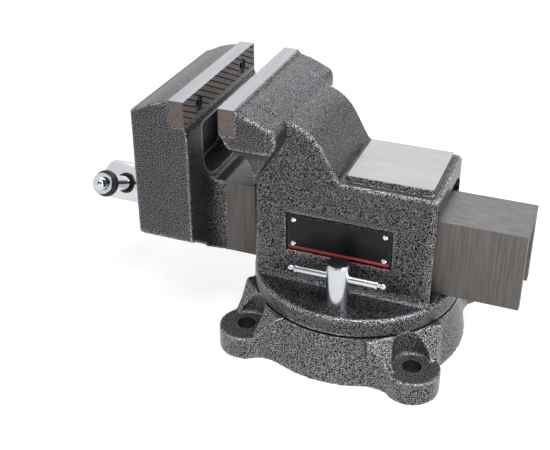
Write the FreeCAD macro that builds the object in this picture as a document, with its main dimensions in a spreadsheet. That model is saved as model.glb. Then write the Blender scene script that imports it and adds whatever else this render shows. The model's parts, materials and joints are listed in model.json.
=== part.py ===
import FreeCAD, Part
import math
import os
from types import SimpleNamespace

import Sketcher
from FreeCAD import Placement, Rotation, Vector

# Bench vise with a 150 mm jaw on a bolt-down swivel base.
# X runs along the slide bar, + towards the anvil; Y runs across the jaws; Z is up.
# The origin is on the swivel axis, at the underside of the base. All lengths are in millimetres.

os.makedirs("parts", exist_ok=True)
doc = FreeCAD.newDocument("bench_vise")

# ---------------------------------------------------------------------------------------------
# Driving dimensions
# ---------------------------------------------------------------------------------------------
DIMENSIONS = [
    # jaws
    ("jaw_length", 150.0, "length of both jaw plates across the vise"),
    ("jaw_top", 183.5, "height of the jaw plates' top edge"),
    ("plate_height", 23.6, "height of a jaw plate"),
    ("plate_thick", 14.2, "thickness of a jaw plate"),
    ("fixed_face", -101.1, "X of the fixed plate's gripping face"),
    ("rest_opening", 30.6, "gap between the plates at rest"),
    ("plate_seat_gap", 0.05, "paint gap behind and below a jaw plate"),
    ("fit_gap", 0.05, "gap between a fixed part and the hole or seat that holds it"),
    ("bite", 1.0, "how deep one body of a casting runs into the next"),
    ("jaw_screw_pitch", 92.0, "distance between the two screws of a plate"),
    ("jaw_screw_height", 11.2, "height of the screws above the plate's bottom"),
    ("screw_shank_radius", 4.0, "M8 shank of the jaw screws"),
    ("screw_head_radius", 6.5, "head of the jaw screws"),
    ("screw_head_height", 8.0, "head height of the jaw screws"),
    ("screw_length", 15.0, "jaw screw length under the head"),
    ("screw_socket_across", 6.0, "hexagon socket of the jaw screws, across its flats"),
    ("screw_play", 0.4, "play around a fastener in its clearance hole"),
    ("screw_sink", 1.2, "depth of a screw head below the gripping face"),
    ("tap_spare", 2.0, "depth of a tapped hole beyond its screw's end"),
    ("seat_setback", 0.6, "how far a plate's ledge stays behind the gripping face"),
    # slide bar and the channel it runs in
    ("bar_half_width", 28.7, "half the width of the slide bar"),
    ("bar_bottom", 18.6, "underside of the slide bar"),
    ("bar_top", 90.7, "top of the slide bar"),
    ("bar_wall", 10.0, "wall of the hollow slide bar"),
    ("bar_end", 150.0, "X of the slide bar's rear end"),
    ("slide_play", 0.3, "play between the slide bar and its channel"),
    # fixed body
    ("body_front", -83.0, "X of the body's front face"),
    ("body_rear", 79.0, "X of the body's rear face"),
    ("body_half_width", 48.0, "half the width of the body"),
    ("body_corner", 6.0, "radius of the body's upright corners"),
    ("platform_top", 117.6, "height of the flat behind the jaw"),
    ("head_back", -51.7, "X of the fixed jaw head's back"),
    ("head_floor", 148.3, "height of the fixed jaw head's underside"),
    ("head_corner", 9.0, "radius of the fixed jaw head's rear corners"),
    ("head_root", 132.0, "height where the jaw head's underside meets the body's front"),
    ("head_rise", 6.3, "rise of the jaw head's underside towards its back"),
    ("head_shoulder", 3.6, "drop from the crown's end to the top of the jaw head's back"),
    ("head_brow", 5.0, "height of the jaw head's rear edge over the crown's end"),
    ("fixed_lip", 3.0, "how far the crown starts below the fixed plate's top edge"),
    ("crown_radius", 75.0, "curve of the fixed jaw's top"),
    ("crown_length", 36.9, "length of the crown behind the fixed plate"),
    ("crown_drop", 17.0, "height of the jaw's top over the crown's end"),
    ("hood_radius", 45.0, "curve of the hood behind the fixed jaw"),
    ("hood_length", 29.3, "length of the hood behind the crown"),
    ("hood_drop", 21.2, "fall of the hood along that length"),
    ("hood_foot_radius", 9.0, "curve where the hood meets the platform"),
    ("hood_foot_run", 12.2, "length from the hood's curve to the curve at its foot"),
    ("hood_foot_rise", 5.6, "height over the platform where the foot's curve begins"),
    ("hood_foot_blend", 7.2, "length of the curve at the hood's foot"),
    ("gusset_foot", 106.0, "height where the gussets under the fixed jaw begin"),
    ("gusset_radius", 62.0, "hollow curve of the gussets"),
    ("buttress_reach", 9.0, "how far the buttress over the bar stands out in front"),
    ("front_land", 48.0, "length of the side bearings at the front of the channel"),
    ("rear_land", 20.0, "length of the side bearings at the rear of the channel"),
    ("body_wall", 10.0, "cast wall of the body between the bearings"),
    ("hood_core_front", 17.0, "wall ahead of the hollow inside the hood"),
    ("hood_core_top", 134.0, "height of the hollow inside the hood"),
    ("anvil_front", -1.8, "X of the anvil's front edge"),
    ("anvil_rear", 71.9, "X of the anvil's rear edge"),
    ("anvil_half_width", 37.0, "half the width of the anvil face"),
    ("anvil_top", 123.1, "height of the anvil face"),
    ("anvil_draft", 1.6, "spread of the anvil block down to the platform"),
    # nameplate
    ("nameplate_centre", -4.4, "X of the nameplate's middle"),
    ("nameplate_height", 64.2, "height of the nameplate's middle"),
    ("nameplate_length", 90.8, "length of the nameplate"),
    ("nameplate_width", 32.4, "width of the nameplate"),
    ("nameplate_thick", 1.0, "thickness of the nameplate"),
    ("nameplate_border", 2.6, "border of the recess around the nameplate"),
    ("recess_depth", 1.4, "depth of the nameplate's recess"),
    ("rivet_inset", 4.4, "distance of the rivets from the nameplate's edges"),
    ("rivet_head_radius", 2.4, "drive rivet head"),
    ("rivet_shank_radius", 1.3, "drive rivet shank"),
    ("rivet_crown_radius", 1.3, "flat top of a drive rivet's head"),
    ("rivet_head_height", 1.0, "height of a drive rivet's head"),
    ("rivet_length", 6.0, "drive rivet length under the head"),
    # turntable and swivel base
    ("base_height", 46.0, "height of the base's top face"),
    ("base_foot_radius", 102.0, "outer radius of the base at the bench"),
    ("base_rim_radius", 94.2, "outer radius of the base at its top"),
    ("base_bore_radius", 80.0, "opening inside the base's clamping lip"),
    ("base_cavity_radius", 87.0, "hollow below the clamping lip"),
    ("base_lip_thick", 12.0, "thickness of the clamping lip"),
    ("base_turn", -2.0, "turn of the base against the slide axis, in degrees"),
    ("table_radius", 94.0, "outer radius of the turntable"),
    ("table_top", 17.2, "height of the turntable's top"),
    ("table_edge", 1.5, "chamfer of the turntable's top edge"),
    ("table_play", 0.3, "play under the turntable and around its spigot"),
    ("spigot_depth", 8.0, "depth of the turntable's spigot in the base"),
    ("spigot_inner_radius", 60.0, "inside of the spigot ring"),
    # bench lugs
    ("lug_circle_radius", 109.0, "radius of the circle through the bench bolts"),
    ("lug_tip_radius", 24.3, "rounded end of a lug"),
    ("lug_root_half_width", 36.0, "half the width of a lug where it leaves the drum"),
    ("lug_flare_start", 96.0, "distance from the swivel axis where a lug's flanks curve in"),
    ("lug_flare_radius", 34.0, "hollow curve of a lug's flanks"),
    ("lug_seat", 22.0, "height of the bolt seat on a lug"),
    ("lug_slope_run", 16.5, "radial run of the slope from the rim to the bolt seat"),
    ("lug_spot_radius", 17.5, "radius of the spot face around a bench hole"),
    ("bench_hole_radius", 8.5, "bench bolt hole"),
    ("bench_hole_chamfer", 1.2, "chamfer of a bench bolt hole"),
    # moving jaw
    ("block_depth", 36.6, "depth of the moving jaw behind its plate"),
    ("block_floor", 46.3, "height of the moving jaw's underside at its ends"),
    ("block_corner", 7.0, "radius of the moving jaw's lower front edge"),
    ("block_crown_radius", 70.0, "curve of the moving jaw's top"),
    ("block_brow_radius", 9.0, "radius of the moving jaw's upper front edge"),
    ("block_brow_run", 8.6, "length of that rounded edge"),
    ("block_brow_drop", 12.2, "height of the jaw's top over that edge's rear"),
    ("moving_lip", 2.4, "how far the block starts below the moving plate's top edge"),
    ("block_ledge", 6.0, "height of the slope under the moving plate's ledge"),
    ("block_bulge", 2.5, "how far the front face bulges in the middle"),
    ("block_lead", 2.0, "how far the block stands ahead of its plate"),
    ("pocket_half_width", 44.7, "half the width of the pocket in the moving jaw"),
    ("pocket_depth", 24.0, "depth of the pocket in the moving jaw"),
    ("pocket_floor", 95.0, "height of the pocket's floor"),
    ("pocket_roof", 152.0, "height of the pocket's roof"),
    ("pocket_corner", 28.0, "radius of the pocket's lower corners"),
    ("neck_length", 12.6, "painted neck between the moving jaw and the bare bar"),
    ("neck_cover", 0.4, "how far the neck stands over the bare bar"),
    ("neck_spread", 17.5, "width of the hollow fillet beside the bar"),
    ("neck_radius", 19.3, "hollow curve of that fillet"),
    ("neck_ear_height", 119.0, "height of the fillet at the jaw's ends"),
    ("front_wall", 17.0, "wall of the moving jaw around the spindle"),
    ("boss_radius", 25.0, "thrust boss on the moving jaw"),
    ("boss_height", 3.0, "height of the thrust boss"),
    # spindle
    ("spindle_height", 53.0, "height of the spindle's axis"),
    ("thread_radius", 11.0, "outer radius of the spindle's thread"),
    ("thread_chamfer", 2.0, "chamfer of the spindle's threaded end"),
    ("journal_radius", 13.0, "plain journal behind the spindle head"),
    ("journal_length", 40.0, "length of the plain journal"),
    ("shaft_play", 0.05, "running play of the spindle in its bores"),
    ("head_radius", 19.0, "radius of the spindle head"),
    ("head_length", 64.0, "length of the spindle head"),
    ("head_round", 4.0, "rounded end of the spindle head"),
    ("spindle_end", 125.0, "X of the spindle's threaded end"),
    ("handle_hole_setback", 26.0, "distance of the handle hole from the head's end"),
    ("washer_radius", 21.0, "thrust washer"),
    ("washer_thick", 1.8, "thickness of the thrust washer"),
    ("seat_gap", 0.25, "running gap between a turning face and its seat"),
    ("collar_radius", 17.0, "retaining collar on the spindle"),
    ("collar_length", 9.0, "length of the retaining collar"),
    ("pin_radius", 2.0, "roll pin through the retaining collar"),
    ("pin_bore", 0.8, "bore radius of the roll pin"),
    ("pin_inset", 0.4, "how far the roll pin's ends lie inside the collar"),
    ("spring_wire_radius", 1.5, "wire of the backlash spring"),
    ("spring_turns", 3.0, "turns of the backlash spring"),
    ("nut_front", -62.0, "X of the spindle nut's front"),
    ("nut_length", 46.0, "length of the spindle nut"),
    ("nut_half_width", 15.0, "half the width of the spindle nut"),
    ("nut_crown_radius", 17.0, "rounded top of the spindle nut"),
    ("nut_bolt_radius", 5.0, "bolt that holds the spindle nut"),
    ("nut_bolt_head_radius", 8.0, "head of that bolt"),
    ("nut_bolt_head_height", 6.4, "height of that bolt's head"),
    ("nut_bolt_reach", 18.0, "reach of that bolt into the nut"),
    ("nut_washer_radius", 9.5, "washer under that bolt's head"),
    ("nut_washer_thick", 1.6, "thickness of that washer"),
    ("nut_bolt_inset", 1.0, "how far that bolt's head stays above the turntable's underside"),
    # handle
    ("handle_tilt", 26.0, "slope of the handle, in degrees"),
    ("handle_radius", 7.0, "radius of the handle bar"),
    ("handle_high_reach", 59.5, "handle bar from the spindle axis to its upper end"),
    ("handle_low_reach", 140.0, "handle bar from the spindle axis to its lower end"),
    ("handle_play", 0.4, "play of the handle bar in its hole"),
    ("knob_radius", 9.7, "flange of an end knob against its rubber ring"),
    ("knob_flange_length", 4.0, "length of that flange"),
    ("knob_neck_radius", 5.2, "groove between the flange and the dome"),
    ("knob_neck_length", 1.6, "length of that groove"),
    ("knob_dome_radius", 6.3, "dome of an end knob"),
    ("knob_length", 13.0, "length of an end knob over the bar's end"),
    ("buffer_radius", 12.3, "outer radius of a rubber buffer ring"),
    ("buffer_width", 7.0, "width of a rubber buffer ring"),
    ("ring_section_radius", 1.4, "section of the rubber ring in the handle hole"),
    ("ring_seat_depth", 2.5, "depth of that ring's seat below the spindle head's surface"),
    # swivel locks
    ("lock_axis_x", 4.0, "X of the lock screws"),
    ("lock_axis_y", 71.5, "distance of the lock screws from the middle"),
    ("lock_head_radius", 10.2, "radius of a lock screw head"),
    ("lock_head_top", 58.6, "height of a lock screw head's top"),
    ("lock_head_chamfer", 1.2, "chamfer of a lock screw head"),
    ("lock_shank_radius", 6.0, "M12 shank of a lock screw"),
    ("lock_shank_end", -27.0, "height of a lock screw's lower end"),
    ("lock_shank_chamfer", 1.0, "chamfer of a lock screw's lower end"),
    ("lock_bar_height", 44.2, "height of the T-bars"),
    ("lock_bar_radius", 3.5, "radius of a T-bar"),
    ("lock_bar_length", 87.0, "length of a T-bar over its ball ends"),
    ("lock_bar_slip", -1.6, "how far a T-bar lies off the middle of its screw"),
    ("lock_upset_radius", 4.1, "upset shoulder that keeps a T-bar in its hole"),
    ("lock_upset_width", 1.6, "width of that shoulder"),
    ("lock_neck_radius", 2.0, "neck behind a T-bar's ball end"),
    ("lock_neck_length", 2.0, "length of that neck"),
    ("lock_ball_radius", 2.9, "ball end of a T-bar"),
    ("lock_nut_half_length", 14.0, "half the length of a lock nut"),
    ("lock_nut_inner", 60.0, "distance of a lock nut's inner face from the middle"),
    ("lock_nut_outer", 84.5, "distance of a lock nut's outer face from the middle"),
    ("lock_nut_thick", 11.0, "thickness of a lock nut"),
]

sheet = doc.addObject("Spreadsheet::Sheet", "Sizes")
for row, (alias, value, note) in enumerate(DIMENSIONS, start=1):
    sheet.set(f"A{row}", alias)
    sheet.set(f"B{row}", str(value))
    sheet.set(f"C{row}", note)
    sheet.setAlias(f"B{row}", alias)
doc.recompute()


class Size:
    """A number together with the sheet expression that gives it."""

    def __init__(self, value, text):
        self.value = value
        self.text = text

    def __add__(self, other):
        other = size(other)
        return Size(self.value + other.value, f"({self.text} + {other.text})")

    def __sub__(self, other):
        other = size(other)
        return Size(self.value - other.value, f"({self.text} - {other.text})")

    def __mul__(self, other):
        other = size(other)
        return Size(self.value * other.value, f"({self.text} * {other.text})")

    def __truediv__(self, other):
        other = size(other)
        return Size(self.value / other.value, f"({self.text} / {other.text})")

    def __radd__(self, other):
        return size(other) + self

    def __rsub__(self, other):
        return size(other) - self

    def __rmul__(self, other):
        return size(other) * self

    def __neg__(self):
        return size(0) - self


def size(amount):
    """A plain number as a Size; a Size stays as it is."""
    if isinstance(amount, Size):
        return amount
    return Size(float(amount), repr(float(amount)))


def sine(angle):
    return Size(math.sin(math.radians(angle.value)), f"sin({angle.text})")


def cosine(angle):
    return Size(math.cos(math.radians(angle.value)), f"cos({angle.text})")


def root(amount):
    return Size(math.sqrt(amount.value), f"sqrt({amount.text})")


d = SimpleNamespace(**{alias: Size(float(sheet.get(alias)), f"Sizes.{alias}") for alias, _, _ in DIMENSIONS})

# The sheet gives these heights from the base's top face, so the vise keeps together on a taller base.
HEIGHTS_OVER_BASE = (
    "jaw_top", "bar_bottom", "bar_top", "platform_top", "head_floor", "head_root", "gusset_foot",
    "hood_core_top", "anvil_top", "nameplate_height", "table_top", "block_floor", "pocket_floor",
    "pocket_roof", "neck_ear_height", "spindle_height", "lock_shank_end", "lock_head_top",
    "lock_bar_height",
)
for alias in HEIGHTS_OVER_BASE:
    setattr(d, alias, d.base_height + getattr(d, alias))

# ---------------------------------------------------------------------------------------------
# Helpers: sketches, primitives and booleans whose sizes are bound to the sheet
# ---------------------------------------------------------------------------------------------
ALONG_Z = Rotation()
ALONG_X = Rotation(Vector(0, 1, 0), 90)
ALONG_Y = Rotation(Vector(1, 0, 0), -90)
PLANE_TURN = {
    "XY_Plane": Rotation(),
    "XZ_Plane": Rotation(Vector(1, 0, 0), 90),
    "YZ_Plane": Rotation(Vector(1, 1, 1), 120),
}
SWEEP_DIRECTION = {"XY_Plane": Vector(0, 0, 1), "XZ_Plane": Vector(0, 1, 0), "YZ_Plane": Vector(1, 0, 0)}
subparts = []


def finish(item, label):
    """Give a finished sub-part the label that names its file."""
    item.Label = label
    subparts.append(item)
    return item


def place(item, at, turn=ALONG_Z):
    """Put an item at a point whose coordinates follow the sheet."""
    at = [size(amount) for amount in at]
    item.Placement = Placement(Vector(*[amount.value for amount in at]), turn)
    for axis, amount in zip("xyz", at):
        item.setExpression(f"Placement.Base.{axis}", amount.text)


def box(name, low, high):
    """A block between two corners."""
    item = doc.addObject("Part::Box", name)
    for side, start, end in zip(("Length", "Width", "Height"), low, high):
        item.setExpression(side, (size(end) - start).text)
    place(item, low)
    return item


def rod(name, radius, start, length, turn=ALONG_Z):
    """A cylinder from a start point along an axis."""
    item = doc.addObject("Part::Cylinder", name)
    item.setExpression("Radius", size(radius).text)
    item.setExpression("Height", size(length).text)
    place(item, start, turn)
    return item


def cone(name, first_radius, second_radius, start, length, turn=ALONG_Z):
    """A cone from a start point along an axis."""
    item = doc.addObject("Part::Cone", name)
    item.setExpression("Radius1", size(first_radius).text)
    item.setExpression("Radius2", size(second_radius).text)
    item.setExpression("Height", size(length).text)
    place(item, start, turn)
    return item


def fuse(name, items):
    item = doc.addObject("Part::MultiFuse", name)
    item.Shapes = items
    item.Refine = True
    return item


def common(name, items):
    item = doc.addObject("Part::MultiCommon", name)
    item.Shapes = items
    return item


def cut(name, base, tools):
    item = doc.addObject("Part::Cut", name)
    item.Base = base
    item.Tool = tools[0] if len(tools) == 1 else fuse(f"{name}_tools", tools)
    return item


def group(name, items):
    """Separate solids that share one node."""
    item = doc.addObject("Part::Compound", name)
    item.Links = items
    return item


def new_sketch(name, plane, body=None, lift=None):
    """An empty sketch, free-standing or attached to its own body's origin plane."""
    if body is None:
        sketch = doc.addObject("Sketcher::SketchObject", name)
        sketch.Placement = Placement(Vector(), PLANE_TURN[plane])
        return sketch
    sketch = body.newObject("Sketcher::SketchObject", name)
    support = [feature for feature in body.Origin.OriginFeatures if feature.Role == plane][0]
    sketch.AttachmentSupport = [(support, "")]
    sketch.MapMode = "FlatFace"
    if lift is not None:
        sketch.setExpression("AttachmentOffset.Base.z", size(lift).text)
    return sketch


def dimension(sketch, kind, refs, amount):
    """A driving constraint that follows the sheet."""
    amount = size(amount)
    index = sketch.addConstraint(Sketcher.Constraint(kind, *refs, amount.value))
    sketch.setExpression(f"Constraints[{index}]", amount.text)


def arc_between(here, there, radius, bend):
    """The minor arc between two corners of a counter-clockwise outline: round or hollow."""
    chord = there - here
    left = Vector(-chord.y, chord.x, 0).normalize()
    rise = math.sqrt(radius ** 2 - (chord.Length / 2) ** 2)
    middle = here + chord * 0.5
    centre = middle + left * rise if bend == "round" else middle - left * rise
    first, last = (here, there) if bend == "round" else (there, here)
    angles = [math.atan2(point.y - centre.y, point.x - centre.x) for point in (first, last)]
    return Part.ArcOfCircle(Part.Circle(centre, Vector(0, 0, 1), radius), *angles)


def outline(name, plane, corners, body=None, lift=None):
    """A closed counter-clockwise outline. A corner is (x, y), or (x, y, radius, bend) when an
    arc leads from it to the next corner."""
    sketch = new_sketch(name, plane, body, lift)
    points = [Vector(size(corner[0]).value, size(corner[1]).value, 0) for corner in corners]
    ends = []
    for index, corner in enumerate(corners):
        here = points[index]
        there = points[(index + 1) % len(points)]
        if len(corner) == 2:
            sketch.addGeometry(Part.LineSegment(here, there))
            ends.append((1, 2))
        else:
            sketch.addGeometry(arc_between(here, there, size(corner[2]).value, corner[3]))
            ends.append((1, 2) if corner[3] == "round" else (2, 1))
    for index, corner in enumerate(corners):
        following = (index + 1) % len(corners)
        joint = (index, ends[index][1], following, ends[following][0])
        sketch.addConstraint(Sketcher.Constraint("Coincident", *joint))
    for index, corner in enumerate(corners):
        start = (-1, 1, index, ends[index][0])
        dimension(sketch, "DistanceX", start, corner[0])
        dimension(sketch, "DistanceY", start, corner[1])
        if len(corner) == 4:
            dimension(sketch, "Radius", (index,), corner[2])
    return sketch


def circles(name, plane, centres, radius, body=None, lift=None):
    """One sketch of equal circles."""
    sketch = new_sketch(name, plane, body, lift)
    for index, centre in enumerate(centres):
        middle = Vector(size(centre[0]).value, size(centre[1]).value, 0)
        sketch.addGeometry(Part.Circle(middle, Vector(0, 0, 1), size(radius).value))
        dimension(sketch, "DistanceX", (-1, 1, index, 3), centre[0])
        dimension(sketch, "DistanceY", (-1, 1, index, 3), centre[1])
        dimension(sketch, "Radius", (index,), radius)
    return sketch


def slab(name, plane, corners, start, end):
    """An outline swept between two distances along the plane's normal."""
    item = doc.addObject("Part::Extrusion", name)
    item.Base = outline(f"{name}_outline", plane, corners)
    item.DirMode = "Custom"
    item.Dir = SWEEP_DIRECTION[plane]
    item.Solid = True
    item.setExpression("LengthFwd", size(end).text)
    item.setExpression("LengthRev", (-size(start)).text)
    return item


def new_body(label, at=(0, 0, 0), turn=ALONG_Z):
    body = doc.addObject("PartDesign::Body", label)
    place(body, at, turn)
    return finish(body, label)


def pad(body, sketch, length, backwards=False):
    item = body.newObject("PartDesign::Pad", f"{sketch.Name}_pad")
    item.Profile = sketch
    item.setExpression("Length", size(length).text)
    item.Reversed = backwards
    return item


def pocket(body, sketch, length, backwards=False, both_ways=False):
    item = body.newObject("PartDesign::Pocket", f"{sketch.Name}_pocket")
    item.Profile = sketch
    item.setExpression("Length", size(length).text)
    item.Reversed = backwards
    item.Midplane = both_ways
    return item


def turned(body, name, corners, axis="V_Axis", kind="PartDesign::Revolution"):
    """A half section, x and y in the XZ plane, turned about one of the sketch's axes."""
    sketch = outline(name, "XZ_Plane", corners, body)
    item = body.newObject(kind, f"{name}_turned")
    item.Profile = sketch
    item.ReferenceAxis = (sketch, [axis])
    item.Angle = 360
    return item


# ---------------------------------------------------------------------------------------------
# Places that several pieces share
# ---------------------------------------------------------------------------------------------
jaw_end = d.jaw_length / 2
plate_bottom = d.jaw_top - d.plate_height
fixed_plate_back = d.fixed_face + d.plate_thick
moving_face = d.fixed_face - d.rest_opening
moving_plate_back = moving_face - d.plate_thick
screw_level = plate_bottom + d.jaw_screw_height
screw_sides = (-d.jaw_screw_pitch / 2, d.jaw_screw_pitch / 2)
screw_reach = d.screw_sink + d.screw_head_height + d.screw_length - d.plate_thick
block_front = moving_plate_back - d.block_depth
block_nose = block_front - d.block_bulge
block_rear = moving_face + d.block_lead
boss_face = block_nose - d.boss_height
inner_wall = block_front + d.front_wall
channel_floor = d.bar_bottom - d.slide_play
channel_half_width = d.bar_half_width + d.slide_play
bar_hollow_half_width = d.bar_half_width - d.bar_wall
table_bottom = d.base_height + d.table_play
spigot_radius = d.base_bore_radius - d.table_play
spigot_bottom = table_bottom - d.spigot_depth
lip_bottom = d.base_height - d.base_lip_thick
head_front = boss_face - d.washer_thick - d.seat_gap * 2
head_end = head_front - d.head_length
handle_x = head_end + d.handle_hole_setback
ring_seat_radius = d.handle_radius + d.ring_section_radius * 2 + d.fit_gap * 2
ring_seat_reach = d.head_radius - d.ring_seat_depth
collar_middle = head_front + d.journal_length + d.collar_length / 2
nut_middle = d.nut_front + d.nut_length / 2
nut_bolt_seat = table_bottom + d.nut_bolt_inset + d.nut_bolt_head_height + d.nut_washer_thick
lock_sides = (("near", -1), ("far", 1))

# A cut that goes right through is this many times as long as the radius that it has to pass.
THROUGH = 3
# Two lengths closer than this are taken as equal.
SAME = 1e-6


def rivet_places():
    """X and Z of the nameplate's four rivets."""
    across = d.nameplate_length / 2 - d.rivet_inset
    upright = d.nameplate_width / 2 - d.rivet_inset
    return [(d.nameplate_centre + side * across, d.nameplate_height + level * upright)
            for side in (-1, 1) for level in (-1, 1)]


def is_ring(edge, radius, height):
    """Whether an edge is a level circle of a radius at a height."""
    if not hasattr(edge.Curve, "Radius"):
        return False
    low, high = edge.BoundBox.ZMin, edge.BoundBox.ZMax
    return abs(edge.Curve.Radius - radius) < SAME and abs(low - height) < SAME and high - low < SAME


# ---------------------------------------------------------------------------------------------
# Swivel base: a hollow drum with a clamping lip inside and four bench lugs
# ---------------------------------------------------------------------------------------------
def make_base():
    body = new_body("base_casting")
    lug_angle = 45 + d.base_turn
    body.Placement.Rotation = Rotation(Vector(0, 0, 1), lug_angle.value)
    body.setExpression("Placement.Rotation.Angle", lug_angle.text)
    turned(body, "drum", [
        (0, 0),
        (d.base_foot_radius, 0),
        (d.base_rim_radius, d.base_height),
        (0, d.base_height),
    ])
    reach = d.lug_circle_radius
    tip = d.lug_tip_radius
    root_side = d.lug_root_half_width
    inside = d.base_cavity_radius / 2
    lug = pad(body, outline("lug_plan", "XY_Plane", [
        (inside, -root_side),
        (d.lug_flare_start, -root_side, d.lug_flare_radius, "hollow"),
        (reach, -tip, tip, "round"),
        (reach + tip, 0, tip, "round"),
        (reach, tip, d.lug_flare_radius, "hollow"),
        (d.lug_flare_start, root_side),
        (inside, root_side),
    ], body), d.base_height)
    slope = pocket(body, outline("lug_slope", "XZ_Plane", [
        (d.base_rim_radius + d.lug_slope_run, d.lug_seat),
        (reach + tip * THROUGH, d.lug_seat),
        (reach + tip * THROUGH, d.base_height * THROUGH),
        (d.base_rim_radius, d.base_height * THROUGH),
        (d.base_rim_radius, d.base_height),
    ], body), root_side * THROUGH, both_ways=True)
    spot = pocket(body, circles("lug_spot", "XY_Plane", [(reach, 0)], d.lug_spot_radius, body, d.lug_seat),
                  d.base_height, backwards=True)
    hole = pocket(body, circles("bench_hole", "XY_Plane", [(reach, 0)], d.bench_hole_radius, body),
                  d.base_height, backwards=True)
    lugs = body.newObject("PartDesign::PolarPattern", "lugs")
    lugs.Originals = [lug, slope, spot, hole]
    lugs.Axis = ([feature for feature in body.Origin.OriginFeatures if feature.Role == "Z_Axis"][0], [""])
    lugs.Angle = 360
    lugs.Occurrences = 4
    body.Tip = lugs
    doc.recompute()
    rims = [f"Edge{number}" for number, edge in enumerate(lugs.Shape.Edges, start=1)
            if is_ring(edge, d.bench_hole_radius.value, d.lug_seat.value)]
    chamfer = body.newObject("PartDesign::Chamfer", "bench_hole_rims")
    chamfer.Base = (lugs, rims)
    chamfer.setExpression("Size", d.bench_hole_chamfer.text)
    turned(body, "base_hollow", [
        (0, 0),
        (d.base_cavity_radius, 0),
        (d.base_cavity_radius, lip_bottom),
        (d.base_bore_radius, lip_bottom),
        (d.base_bore_radius, d.base_height),
        (0, d.base_height),
    ], kind="PartDesign::Groove")


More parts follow.
